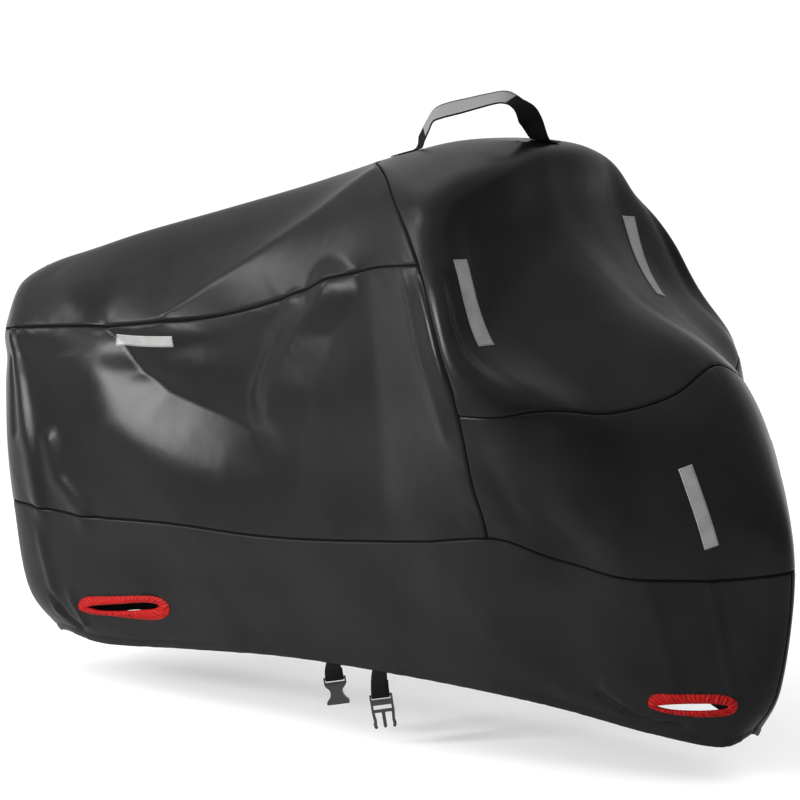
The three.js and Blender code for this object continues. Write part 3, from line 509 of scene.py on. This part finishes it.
def bed_between(start, end, side):
    """A flat bed laid along the cloth between two places, given in millimetres above the ground:
    its middle, the way along, the way up and the way out, and its length in metres."""
    start, end = (Vector(start) - CARRY) * MM, (Vector(end) - CARRY) * MM
    middle, along = (start + end) / 2, (end - start).normalized()
    out = cloth_face.find_nearest(middle)[1]
    out = (out - along * out.dot(along)).normalized()
    return {"middle": middle, "along": along, "up": out.cross(along) * -side, "out": out,
            "length": (end - start).length}


def on_cloth(bed, u, v, rise):
    """Where the place (u, v) of a bed lands on the cloth, moved off it by rise, all in metres."""
    start = bed["middle"] + bed["along"] * u + bed["up"] * v + bed["out"] * SIGHT
    return cloth_face.ray_cast(start, -bed["out"])[0] + bed["out"] * rise


def even_places(start, end, steps):
    """Places from start to end, steps apart from each other, with both ends among them."""
    return [start.lerp(end, i / steps) for i in range(steps + 1)]


def even_steps(points, pitch):
    """Places pitch metres apart along a line of points, each with the way the line runs there."""
    steps, ahead = [], pitch / 2
    for start, end in zip(points, points[1:]):
        run = end - start
        while ahead < run.length:
            steps.append((start + run * (ahead / run.length), run.normalized()))
            ahead += pitch
        ahead -= run.length
    return steps


def sew(name, stitches, size, finish):
    """One small rounded bar for each stitch of (place, way, out). size is its half length, half
    width and half height in metres."""
    pattern = bmesh.new()
    bmesh.ops.create_icosphere(pattern, subdivisions=1, radius=1)
    corners = [vert.co.copy() for vert in pattern.verts]
    sides = [[vert.index for vert in face.verts] for face in pattern.faces]
    pattern.free()
    points, faces = [], []
    for place, way, out in stitches:
        across = out.cross(way).normalized()
        faces += [[index + len(points) for index in side] for side in sides]
        points += [place + way * (c.x * size[0]) + across * (c.y * size[1]) + out * (c.z * size[2])
                   for c in corners]
    data = bpy.data.meshes.new(name)
    data.from_pydata(points, [], faces)
    data.polygons.foreach_set("use_smooth", [True] * len(faces))
    data.materials.append(finish)
    piece = put_in_scene(name, data)
    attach(piece, "root")


# Seam strips and sewing. A narrow black bias strip is folded over the raw edges in each seam and
# shows as a dark line. A row of stitches runs along each side of it, and one round the hem.

# The profile goes from side to side of the strip, as shares of its half width and millimetres out.
STRIP_PROFILE = [(-1.0, -3.0), (-0.95, -1.3), (-0.55, -0.75), (0.0, -0.55), (0.55, -0.75), (0.95, -1.3),
                 (1.0, -3.0)]
STRIP_CELLS = {"section": 30, "loop": 20}
STITCH = {"pitch": 0.007, "beside": 6.5, "rise": 0.0002, "size": (0.0024, 0.0005, 0.0004)}
HEM_LINE_STEPS = 300


def sewing_thread(name, colour, gloss=0.5):
    """Twisted polyester thread, dull and a little uneven. Its real twist is a third of a millimetre
    and is drawn three times as coarse."""
    thread, tree, shader = new_finish(name, colour, 0.7, gloss)
    place = add_node(tree, "TexCoord").outputs["Object"]
    twist = add_node(tree, "TexNoise", {"Vector": place, "Scale": 900.0, "Detail": 1.0})
    add_node(tree, "Bump", {"Height": twist.outputs["Fac"], "Strength": 0.5, "Distance": 0.0002},
             feeds=shader.inputs["Normal"])
    return thread


def stitches_along(line):
    """A stitch of black thread at each pitch of a line, on the cloth that is nearest to it."""
    stitches = []
    for place, way in even_steps(line, STITCH["pitch"]):
        spot, out, _, _ = cloth_face.find_nearest(place)
        stitches.append((spot + out * STITCH["rise"], way, out))
    return stitches


# Bias-cut twill without a coat: it has no shine, so that a seam reads as a line darker than the cloth.
# Its twill lines, under half a millimetre apart, are drawn at 2 mm.
strip_cloth, tree, shader = new_finish("black_bias_strip", "060606", 0.85, 0.05)
chart = add_node(tree, "UVMap", uv_map="cut").outputs["UV"]
twill = add_node(tree, "TexWave", {"Vector": chart, "Scale": WAVE / 0.002},
                 bands_direction="DIAGONAL").outputs["Fac"]
add_node(tree, "Bump", {"Height": twill, "Strength": 0.5, "Distance": 0.0004},
         feeds=shader.inputs["Normal"])

seam_stitches = []
for name, seam in SEAMS.items():
    start, end = Vector(seam["from"]), Vector(seam["to"])
    steps = round(max(abs(end.x - start.x) * STRIP_CELLS["section"],
                      abs(end.y - start.y) * STRIP_CELLS["loop"]))
    half_line = even_places(start, end, steps)
    trail = [(place, -1) for place in reversed(half_line)]
    if "joint" not in name:
        trail += [(place, 1) for place in half_line[1:]]
    middles, frames = [], []
    for place, side in trail:
        middles.append(cloth_point(*place, side, seam_pull(*place)[1]))
    for i, (place, side) in enumerate(trail):
        normal = drape_at(*place)[1]
        out = Vector((normal.x, normal.y * side, normal.z))
        way = (middles[min(i + 1, len(trail) - 1)] - middles[max(i - 1, 0)]).normalized()
        frames.append((middles[i], out.cross(way).normalized(), out))

    def strip_place(i, j):
        middle, across, out = frames[i]
        squeeze = 0.0 if i in (0, len(frames) - 1) and "skirt" not in name else 1.0
        share, rise = STRIP_PROFILE[j % len(STRIP_PROFILE)]
        return middle + across * (share * seam["strip"] / 2 * MM * squeeze) + out * (rise * MM)

    strip = lay_grid(name + "_strip", len(frames) - 1, len(STRIP_PROFILE), strip_place, flip=True)
    strip.data.materials.append(strip_cloth)
    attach(strip, "root")
    for beside in (-STITCH["beside"], STITCH["beside"]):
        seam_stitches += stitches_along([middle + across * beside * MM for middle, across, _ in frames])
above_hem = Vector((0, 0, HEM["stitch"] * MM))
for side in (-1, 1):
    seam_stitches += stitches_along([cloth_point(NOSE * i / HEM_LINE_STEPS, 0, side) + above_hem
                                     for i in range(HEM_LINE_STEPS + 1)])
sew("seam_sewing", seam_stitches, STITCH["size"], sewing_thread("black_sewing_thread", "0c0c0d", 0.2))

# Lock holes. Each slot in the skirt is bound with a strip of red cloth, folded over the cut edge
# and gathered, so that it puffs up in close ripples. The outlines are shares of the half sizes.
LOCK_HOLES = [
    {"name": "rear_lock_binding", "half": (145.0, 30.0), "from": (-710, 198, 183), "to": (-424, 228, 232),
     "outer": [(-1, 0.05), (-0.94, 0.55), (-0.8, 0.88), (-0.6, 0.98), (0, 1), (0.6, 0.98), (0.85, 0.78),
               (0.98, 0.35), (1, -0.1), (0.93, -0.6), (0.68, -0.98), (0.2, -0.86), (-0.3, -0.62),
               (-0.68, -0.52), (-0.92, -0.3)],
     "slot": [(-0.8, 0.1), (-0.52, 0.28), (0.06, 0.4), (0.43, 0.47), (0.7, 0.38), (0.8, 0.14),
              (0.67, -0.1), (0.43, -0.18), (-0.12, -0.24), (-0.52, -0.2), (-0.7, -0.06)]},
    {"name": "front_lock_binding", "half": (97.0, 28.0), "from": (827, 160, 182), "to": (1000, 72, 190),
     "outer": [(-1, -0.1), (-0.97, 0.5), (-0.86, 0.88), (-0.67, 0.99), (0, 0.98), (0.57, 0.9), (0.87, 0.6),
               (1, 0.1), (0.95, -0.55), (0.78, -0.9), (0.2, -0.98), (-0.1, -0.88), (-0.48, -0.77),
               (-0.75, -0.56), (-0.93, -0.34)],
     "slot": [(-0.8, -0.08), (-0.39, 0.14), (0.1, 0.2), (0.45, 0.17), (0.74, 0.0), (0.8, -0.16),
              (0.68, -0.36), (0.17, -0.45), (-0.39, -0.42), (-0.67, -0.28)]},
]
# The cloth's cut edge lies at the share cut of the way from the outline to the slot. The profile
# goes round the folded strip from slot to slot, as such shares and millimetres out.
BIND = {"pitch": 2.2, "cut": 0.45, "search": 1.1, "thick": 0.0007, "width": 0.035, "fullness": 1.3}
GATHER = {"puff": 0.8, "height": 0.8, "close": 5.0, "wide": 11.0, "wide_share": 0.7, "across": 1.6,
          "apart": 5.0}
RING_STEPS = 24
RED_STITCH = {"pitch": 0.006, "at": 0.08, "rise": 0.0015, "size": (0.0022, 0.0005, 0.0005)}
BIND_PROFILE = [(0.0, 0.8), (0.05, 0.9), (0.1, 0.8), (0.16, 1.6), (0.3, 3.4), (0.5, 4.6), (0.72, 4.7),
                (0.9, 3.6), (0.99, 1.8), (1.02, -0.6), (0.98, -2.6), (0.85, -4.0), (0.6, -4.6), (0.3, -4.0),
                (0.1, -3.0), (0.0, -2.9)]


def smooth_ring(points, half, count):
    """Even places on a smooth closed line through points, which are shares of the half sizes."""
    corners = [Vector((u * half[0], v * half[1])) for u, v in points]
    size = len(corners)
    fine = [through_four(*(corners[(i + k) % size] for k in (-1, 0, 1, 2)), step / RING_STEPS)
            for i in range(size) for step in range(RING_STEPS)]
    fine.append(fine[0])
    lengths = [0.0]
    for a, b in zip(fine, fine[1:]):
        lengths.append(lengths[-1] + (b - a).length)
    ring, k = [], 0
    for i in range(count):
        goal = lengths[-1] * i / count
        while lengths[k + 1] < goal:
            k += 1
        ring.append(fine[k].lerp(fine[k + 1], (goal - lengths[k]) / (lengths[k + 1] - lengths[k])))
    return ring, lengths[-1]


def in_bed(bed, point):
    """Where a point lies along and up a bed, in millimetres from its middle."""
    away = point - bed["middle"]
    return Vector((away.dot(bed["along"]), away.dot(bed["up"]))) / MM


def inside(spot, outline):
    """Whether a line from a place crosses a closed outline an odd number of times."""
    crossings = 0
    for a, b in zip(outline, outline[1:] + outline[:1]):
        if (a.y > spot.y) != (b.y > spot.y):
            crossings += spot.x < a.x + (b.x - a.x) * (spot.y - a.y) / (b.y - a.y)
    return crossings % 2 == 1


# Red polyester cloth, soft and without a coat. Along the ring, every 8.5 mm, the hollows of the gathers
# are painted dark as painted shade and their crests light as painted highlight. Its weave, under half a
# millimetre, is drawn at 1.4 mm.
red, tree, shader = new_finish("red_gathered_binding", "b0140e", 0.55, 0.12)
chart = add_node(tree, "UVMap", uv_map="cut").outputs["UV"]
gather_height_and_shade = add_node(tree, "TexWave", {"Vector": chart, "Scale": WAVE / 0.0085, "Distortion": 5.0,
                                    "Detail": 2.0, "Detail Scale": 1.5}).outputs["Fac"]
# Painted shade in the hollows of the gathers and painted highlight on their crests, by the same wave as their
# bump.
add_node(tree, "ValToRGB", {"Fac": gather_height_and_shade}, feeds=shader.inputs["Base Color"],
         stops=((0.1, "620202"), (0.75, "9c0604")))
deep = add_node(tree, "Bump", {"Height": gather_height_and_shade, "Strength": 0.7, "Distance": 0.001})
add_node(tree, "Bump", {"Height": weave_height(tree, chart, 0.0014), "Strength": 0.5,
                        "Distance": 0.0004, "Normal": deep.outputs["Normal"]},
         feeds=shader.inputs["Normal"])

red_stitches = []
for half, side in (("right", -1), ("left", 1)):
    skirt = bmesh.new()
    skirt.from_mesh(skins[f"{half}_skirt_panel"].data)
    for number, hole in enumerate(LOCK_HOLES):
        mirror = Vector((1, side, 1))
        bed = bed_between(Vector(hole["from"]) * mirror, Vector(hole["to"]) * mirror, side)
        _, girth = smooth_ring(hole["outer"], hole["half"], 8)
        count = round(girth / BIND["pitch"])
        outer, _ = smooth_ring(hole["outer"], hole["half"], count)
        inner, _ = smooth_ring(hole["slot"], hole["half"], count)
        cut = [a.lerp(b, BIND["cut"]) for a, b in zip(outer, inner)]

        reach = hole["half"][0] * BIND["search"] * MM
        near = [face for face in skirt.faces if (face.calc_center_median() - bed["middle"]).length < reach]
        gone = [face for face in near if inside(in_bed(bed, face.calc_center_median()), cut)]
        rim = {vert for face in gone for vert in face.verts}
        bmesh.ops.delete(skirt, geom=gone, context="FACES")
        for vert in rim:
            if vert.is_valid and vert.is_boundary:
                spot = in_bed(bed, vert.co)
                nearest = min(cut, key=lambda place: (place - spot).length)
                vert.co = on_cloth(bed, nearest.x * MM, nearest.y * MM, 0)

        def bind_place(i, j):
            i = i % count
            share, rise = BIND_PROFILE[j]
            spot = outer[i].lerp(inner[i], share)
            puff = math.sin(math.pi * min(1.0, max(0.0, share)) ** GATHER["puff"])
            angle, radius = 2 * math.pi * i / count, girth / 6.28
            turn = Vector((math.cos(angle), math.sin(angle), 0))
            close = turn * (radius / GATHER["close"]) + Vector((0, 0, share * GATHER["across"] + number))
            wide = turn * (radius / GATHER["wide"]) + Vector((GATHER["apart"], 0, share + number))
            ripple = noise.noise(close) + GATHER["wide_share"] * noise.noise(wide)
            rise *= 1 + GATHER["height"] * ripple * puff
            return on_cloth(bed, spot.x * MM, spot.y * MM, rise * MM)

        bound = lay_grid(f"{half}_{hole['name']}_cloth", count, len(BIND_PROFILE) - 1, bind_place,
                         flip=side < 0)
        bound.data.materials.append(red)
        thicken(bound, BIND["thick"], 0.0)
        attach(bound, "root")
        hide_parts(f"{half}_{hole['name']}")
        line = [on_cloth(bed, *(a.lerp(b, RED_STITCH["at"]) * MM), RED_STITCH["rise"])
                for a, b in zip(outer, inner)]
        red_stitches += [(place, way, bed["out"])
                         for place, way in even_steps(line + line[:1], RED_STITCH["pitch"])]
    skirt.to_mesh(skins[f"{half}_skirt_panel"].data)
    skirt.free()
sew("lock_hole_sewing", red_stitches, RED_STITCH["size"], sewing_thread("dark_red_thread", "7a0c0c"))
for piece in skins.values():
    thicken(piece, CLOTH_THICK * MM)

# Reflective tapes. Grey glass-bead tape is sewn flat on the cloth round all its edges: on each side,
# one below the side seam, one on the shoulder of the screen panel and one on the fairing panel.
TAPES = [
    {"name": "rear_tape", "on": {"right": "right_side_panel", "left": "left_side_panel"}, "width": 25.0,
     "right": ((-583, -233, 821), (-400, -241, 846)), "left": ((-583, 233, 821), (-400, 241, 846))},
    {"name": "screen_tape", "on": {"right": "screen_panel", "left": "screen_panel"}, "width": 44.0,
     "right": ((456, -342, 1142), (549, -373, 971)), "left": ((459, 297, 1143), (571, 262, 984))},
    {"name": "fairing_tape", "on": {"right": "fairing_panel", "left": "fairing_panel"}, "width": 32.0,
     "right": ((920, -165, 718), (973, -139, 543)), "left": ((920, 165, 718), (973, 139, 543))},
]
TAPE = {"thick": 0.9, "rise": 1.5, "cell": 0.004}
TAPE_STITCH = {"pitch": 0.0058, "inset": 0.0028, "rise": 0.1, "steps": 12, "size": (0.002, 0.00055, 0.00035)}

# Glass beads in grey resin: an even, slightly cloudy grey with a fine grain. The beads are far too
# small to show, so they are drawn as cells a millimetre and a half wide.
beads, tree, shader = new_finish("reflective_bead_tape", "737372", 0.5)
chart = add_node(tree, "UVMap", uv_map="cut").outputs["UV"]
place = add_node(tree, "TexCoord").outputs["Object"]
cells = add_node(tree, "TexVoronoi", {"Vector": chart, "Scale": 650.0}).outputs["Distance"]
cloud = add_node(tree, "TexNoise", {"Vector": place, "Scale": 30.0, "Detail": 3.0}).outputs["Fac"]
add_node(tree, "ValToRGB", {"Fac": cloud}, feeds=shader.inputs["Base Color"],
         stops=((0.3, "6c6c6b"), (0.7, "7a7a79")))
add_node(tree, "Bump", {"Height": cells, "Strength": 0.35, "Distance": 0.0003},
         feeds=shader.inputs["Normal"])

tape_stitches = []
for half, side in (("right", -1), ("left", 1)):
    for tape in TAPES:
        bed = bed_between(*tape[half], side)
        width = tape["width"] * MM
        columns, rows = round(bed["length"] / TAPE["cell"]), round(width / TAPE["cell"])
        tape_place = lambda i, j: on_cloth(bed, (i / columns - 0.5) * bed["length"],
                                           (j / rows - 0.5) * width, TAPE["rise"] * MM)
        laid = lay_grid(f"{half}_{tape['name']}_band", columns, rows, tape_place, flip=side > 0)
        laid.data.materials.append(beads)
        thicken(laid, TAPE["thick"] * MM)
        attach(laid, "root")
        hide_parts(f"{half}_{tape['name']}")
        reach, edge = bed["length"] / 2 - TAPE_STITCH["inset"], width / 2 - TAPE_STITCH["inset"]
        corners = [(-reach, -edge), (reach, -edge), (reach, edge), (-reach, edge), (-reach, -edge)]
        for start, end in zip(corners, corners[1:]):
            line = [on_cloth(bed, *place, (TAPE["rise"] + TAPE_STITCH["rise"]) * MM)
                    for place in even_places(Vector(start), Vector(end), TAPE_STITCH["steps"])]
            tape_stitches += [(spot, way, bed["out"]) for spot, way in even_steps(line, TAPE_STITCH["pitch"])]
grey_thread = sewing_thread("grey_sewing_thread", "3a3a3c")
sew("tape_sewing", tape_stitches, TAPE_STITCH["size"], grey_thread)

# Webbing. Black woven polypropylene tape, a flat band with a thicker rounded edge along each side,
# for the carry handle and the belly straps.

# The profile goes round the band, as shares of its width and its thickness.
WEB_PROFILE = [(-0.5, 0.5), (-0.488, 0.15), (-0.45, 0.0), (-0.25, 0.03), (0.0, 0.03), (0.25, 0.03),
               (0.45, 0.0), (0.488, 0.15), (0.5, 0.5), (0.488, 0.85), (0.45, 1.0), (0.25, 0.97),
               (0.0, 0.97), (-0.25, 0.97), (-0.45, 1.0), (-0.488, 0.85)]
# Polypropylene has hardly any shine, and ribs across the band catch what light there is: their crests
# are also painted lighter than their hollows, a painted highlight. They are 1.5 mm apart and are drawn
# twice as coarse.
webbing_cloth, tree, shader = new_finish("black_woven_webbing", "0b0b0c", 0.75, 0.05)
chart = add_node(tree, "UVMap", uv_map="cut").outputs["UV"]
rib_height_and_highlight = add_node(tree, "TexWave", {"Vector": chart, "Scale": WAVE / 0.003}).outputs["Fac"]
warp = add_node(tree, "TexWave", {"Vector": chart, "Scale": WAVE / 0.004},
                bands_direction="Y").outputs["Fac"]
both = add_node(tree, "Math", {0: rib_height_and_highlight, 1: warp}, operation="ADD").outputs[0]
# Painted highlight on the rib crests, by the same wave as their bump.
add_node(tree, "ValToRGB", {"Fac": rib_height_and_highlight}, feeds=shader.inputs["Base Color"],
         stops=((0.0, "080809"), (1.0, "111112")))
add_node(tree, "Bump", {"Height": both, "Strength": 0.7, "Distance": 0.0005},
         feeds=shader.inputs["Normal"])


def along_knots(knots, place):
    """A place on a smooth curve through knots, counted in knots from the first."""
    last = len(knots) - 1
    i = min(max(int(place), 0), last - 1)
    return through_four(*(knots[min(max(i + step, 0), last)] for step in (-1, 0, 1, 2)), place - i)


def weave_band(name, rows, width, thick, lift, rest=None):
    """Webbing lofted along rows of (middle, across, out), in millimetres above the ground, closed at
    both ends. It never dips under rest, the height of what it lies on."""
    def band_place(i, j):
        middle, across, out = rows[min(max(i - 1, 0), len(rows) - 1)]
        share, rise = WEB_PROFILE[j % len(WEB_PROFILE)]
        if i in (0, len(rows) + 1):
            rise = 0.5
        point = middle + across * (share * width)
        if rest:
            point.z = max(point.z, rest(point.x, point.y))
        return (point + out * (lift + rise * thick) - CARRY) * MM
    band = lay_grid(name, len(rows) + 1, len(WEB_PROFILE), band_place)
    band.data.materials.append(webbing_cloth)
    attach(band, "root")
    return band


# Carry handle. Webbing is sewn on the crown at both ends and turns on its way over. A grey tape is
# sewn on its top face.

# Each row of the path is the middle of the webbing in millimetres, where a height of 0 lies on the
# crown, and how its width turns and leans, in degrees. The tape reaches from row to row, and the
# ends are sewn from row to row, across the share edge of the width each way.
HANDLE = {"width": 50.0, "thick": 2.4, "lift": 0.5, "rows": 8}
HANDLE_PATH = [
    (44, 0, 0, 0, 0), (84, 0, 0, 4, 0), (103, 0, 1308, 46, 10), (114, 0, 1329, 45, 15),
    (125, 0, 1349, 42, 20), (143, 0, 1377, 32, 28), (173, 0, 1391, 16, 37), (223, 0, 1406, 14, 36),
    (272, 0, 1421, 12, 33), (320, 0, 1434, 10, 28), (350, 0, 1432, 7, 16), (369, 3, 1422, -6, 6),
    (381, 12, 1404, -28, 0), (385, 27, 1383, -50, -2), (383, 45, 1361, -68, -2),
    (378, 64, 1344, -80, 0), (374, 86, 0, -88, 0), (372, 122, 0, -90, 0),
]
HANDLE_TAPE = {"from": 3.5, "to": 10.0, "width": 41.0, "thick": 0.8, "rise": 2.1, "columns": 60, "rows": 8}
HANDLE_STITCH = {"pitch": 0.0045, "edge": 0.4, "rise": 0.1, "steps": 10, "size": (0.0017, 0.0005, 0.0004)}
EDGE_STITCH = {"pitch": 0.0055, "edge": 0.38, "rise": 1.0, "steps": 80}
SEWN_ENDS = ((0.1, 0.85), (16.1, 16.85))


def crown_height(x, y):
    """The cloth's height above the ground under a place, in millimetres."""
    hit = cloth_face.ray_cast((Vector((x, y, 2000.0)) - CARRY) * MM, Vector((0, 0, -1)))[0]
    return hit.z / MM + CARRY.z


handle_middles, handle_widths = [], []
for x, y, z, turn, lean in HANDLE_PATH:
    turn, lean = math.radians(turn), math.radians(lean)
    handle_middles.append(Vector((x, y, max(z, crown_height(x, y)))))
    handle_widths.append(Vector((math.sin(turn) * math.cos(lean), -math.cos(turn) * math.cos(lean),
                                 -math.sin(lean))))
HANDLE_END = len(HANDLE_PATH) - 1


def rest_height(x, y):
    """The height of the webbing's middle where it is sewn on the crown."""
    return crown_height(x, y) + HANDLE["lift"] + HANDLE["thick"] / 2


def handle_row(place):
    """The webbing's middle, the way across it and the way out of its top face, at a place counted in
    rows of its path."""
    nudge = 0.05
    ahead, behind = (along_knots(handle_middles, spot)
                     for spot in (min(place + nudge, HANDLE_END), max(place - nudge, 0)))
    way = (ahead - behind).normalized()
    across = along_knots(handle_widths, place)
    across = (across - way * across.dot(way)).normalized()
    return along_knots(handle_middles, place), across, across.cross(way)


handle_rows = [handle_row(i / HANDLE["rows"]) for i in range(HANDLE_END * HANDLE["rows"] + 1)]
handle = weave_band("handle_webbing_band", handle_rows, HANDLE["width"], HANDLE["thick"],
                    -HANDLE["thick"] / 2, rest_height)
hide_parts("handle_webbing")


def on_tape(steps):
    """Even places along the part of the handle that the tape covers."""
    first, last = HANDLE_TAPE["from"], HANDLE_TAPE["to"]
    return [first + (last - first) * i / steps for i in range(steps + 1)]


tape_rows = [handle_row(place) for place in on_tape(HANDLE_TAPE["columns"])]


def handle_tape_place(i, j):
    middle, across, out = tape_rows[i]
    share = j / HANDLE_TAPE["rows"] - 0.5
    return (middle + across * (share * HANDLE_TAPE["width"]) + out * HANDLE_TAPE["rise"] - CARRY) * MM


handle_tape = lay_grid("handle_tape_band", HANDLE_TAPE["columns"], HANDLE_TAPE["rows"], handle_tape_place,
                       flip=True)
# The same bead tape, darker and creased across about every 6 mm, because the handle is gripped there.
# Each crease's hollow is painted darker than its ridge, as painted shade.
worn_beads, tree, shader = new_finish("worn_bead_tape", "636362", 0.55)
chart = add_node(tree, "UVMap", uv_map="cut").outputs["UV"]
crease_height_and_shade = add_node(tree, "TexWave", {"Vector": chart, "Scale": WAVE / 0.006,
                                     "Distortion": 1.5}).outputs["Fac"]
# Painted shade in each crease's hollow, by the same wave as its bump.
add_node(tree, "ValToRGB", {"Fac": crease_height_and_shade}, feeds=shader.inputs["Base Color"],
         stops=((0.0, "585857"), (1.0, "6e6e6d")))
add_node(tree, "Bump", {"Height": crease_height_and_shade, "Strength": 0.5, "Distance": 0.0004},
         feeds=shader.inputs["Normal"])
handle_tape.data.materials.append(worn_beads)
thicken(handle_tape, HANDLE_TAPE["thick"] * MM)
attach(handle_tape, "root")
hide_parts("handle_tape")


def on_webbing(place, share, rise):
    """A place on the handle's upper face in metres, rise millimetres above it, and the way out."""
    middle, across, out = handle_row(place)
    point = middle + across * (share * HANDLE["width"])
    point.z = max(point.z, rest_height(point.x, point.y))
    if out.z < 0:
        out = -out
    return (point + out * (HANDLE["thick"] / 2 + rise) - CARRY) * MM, out


handle_stitches = []
for near, far in SEWN_ENDS:
    # A box of stitches with a cross in it.
    edge = HANDLE_STITCH["edge"]
    box = [(near, -edge), (far, -edge), (far, edge), (near, edge), (near, -edge), (far, edge), (far, -edge),
           (near, edge)]
    for start, end in zip(box, box[1:]):
        start, end = Vector(start), Vector(end)
        line = [on_webbing(*place, HANDLE_STITCH["rise"])[0]
                for place in even_places(start, end, HANDLE_STITCH["steps"])]
        out = on_webbing(*start, 0)[1]
        handle_stitches += [(spot, way, out) for spot, way in even_steps(line, HANDLE_STITCH["pitch"])]
for share in (-EDGE_STITCH["edge"], EDGE_STITCH["edge"]):
    line = [on_webbing(place, share, EDGE_STITCH["rise"])[0] for place in on_tape(EDGE_STITCH["steps"])]
    for spot, way in even_steps(line, EDGE_STITCH["pitch"]):
        near = min(tape_rows, key=lambda row: ((row[0] - CARRY) * MM - spot).length)
        handle_stitches.append((spot, way, near[2]))
sew("handle_sewing", handle_stitches, HANDLE_STITCH["size"], grey_thread)

# Belly straps. Each is webbing sewn inside the right-hand hem, which runs down and round the top bar
# of its half of the buckle and back up behind itself, turning about its length on the way.

# Heights are in millimetres above the ground. Sewn is how far out the webbing lies where it is sewn
# on, from the top down. The bar's sizes are those of the webbing's way round it.
STRAP = {"width": 40.0, "thick": 2.2, "turn": 30.0, "slant": -9.0, "tail": 34.0, "rows": 4}
BELLY_STRAPS = {
    "socket_strap": {"x": 31.0, "bar": 134.0, "bar_y": -219.29, "hem": 169.0, "sewn": (-230.14, -226.32)},
    "plug_strap": {"x": 159.0, "bar": 114.0, "bar_y": -221.48, "hem": 171.0, "sewn": (-232.94, -228.80)},
}
BAR = {"reach": 2.8, "top": 2.6, "bottom": -2.2, "under": 1.6, "bend": 1.4}

reach, top, bottom, under, bend = BAR.values()
for name, strap in BELLY_STRAPS.items():
    # Each knot is how far outside the bar the webbing's middle lies, how far above it, and the share
    # of the turn that it has made.
    drop = strap["hem"] - strap["bar"]
    path = [(strap["sewn"][0] - strap["bar_y"], drop + 34, 0),
            (strap["sewn"][1] - strap["bar_y"], drop + 17, 0),
            (-reach, drop + 2, 0), (-reach, drop - 6, 0.1), (-reach, top + 12, 0.7), (-reach, top + 4, 1),
            (-reach, bottom, 1), (-bend, bottom - under, 1), (bend, bottom - under, 1), (reach, bottom, 1),
            (reach, top + 4, 1), (0.6, top + 12, 0.7), (0, top + min(STRAP["tail"], drop - 12), 0.2)]
    knots, rows = [Vector(knot) for knot in path], []
    for i in range((len(path) - 1) * STRAP["rows"] + 1):
        off, up, share = along_knots(knots, i / STRAP["rows"])
        share = min(1.0, max(0.0, share))
        swing = (Matrix.Rotation(math.radians(STRAP["turn"] * share), 3, "Z")
                 @ Matrix.Rotation(math.radians(STRAP["slant"] * share), 3, "Y"))
        bar = Vector((strap["x"], strap["bar_y"], strap["bar"]))
        rows.append((bar + swing @ Vector((0, off, up)), swing @ Vector((-1, 0, 0))))
    framed = []
    for i, (middle, across) in enumerate(rows):
        way = rows[min(i + 1, len(rows) - 1)][0] - rows[max(i - 1, 0)][0]
        way = (way - across * way.dot(across)).normalized()
        framed.append((middle, across, across.cross(way)))
    band = weave_band(name + "_band", framed, STRAP["width"], STRAP["thick"], 0.0)
    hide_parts(name)

# Buckle halves. Moulded black acetal with small rounded edges. Its eroded grain, under a tenth of a
# millimetre, is drawn at 1.4 mm, and handling has left it smoother in patches.
ROUNDED = {"width": 0.0007, "segments": 2, "from": 25.0, "flat": 1.0}
plastic, tree, shader = new_finish("moulded_black_plastic", "151516", 0.34)
place = add_node(tree, "TexCoord").outputs["Object"]
grain = add_node(tree, "TexNoise", {"Vector": place, "Scale": 700.0, "Detail": 2.0}).outputs["Fac"]
smear = add_node(tree, "TexNoise", {"Vector": place, "Scale": 60.0, "Detail": 1.0}).outputs["Fac"]
add_node(tree, "MapRange", {"Value": smear, "To Min": 0.22, "To Max": 0.38},
         feeds=shader.inputs["Roughness"])
add_node(tree, "Bump", {"Height": grain, "Strength": 0.3, "Distance": 0.0002},
         feeds=shader.inputs["Normal"])
for name in ("buckle_socket", "buckle_plug"):
    moulding = bmesh.new()
    moulding.from_mesh(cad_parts[name].data)
    bmesh.ops.remove_doubles(moulding, verts=moulding.verts, dist=WELD)
    bmesh.ops.dissolve_limit(moulding, angle_limit=math.radians(ROUNDED["flat"]), verts=moulding.verts,
                             edges=moulding.edges)
    piece = finished(name + "_moulding", moulding)
    piece.data.materials.append(plastic)
    soft_edge = piece.modifiers.new("soft_edges", "BEVEL")
    soft_edge.affect = "EDGES"
    soft_edge.width = ROUNDED["width"]
    soft_edge.segments = ROUNDED["segments"]
    soft_edge.profile = 0.5
    soft_edge.limit_method = "ANGLE"
    soft_edge.angle_limit = math.radians(ROUNDED["from"])
    soft_edge.material = -1
    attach(piece, "root")
    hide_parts(name)
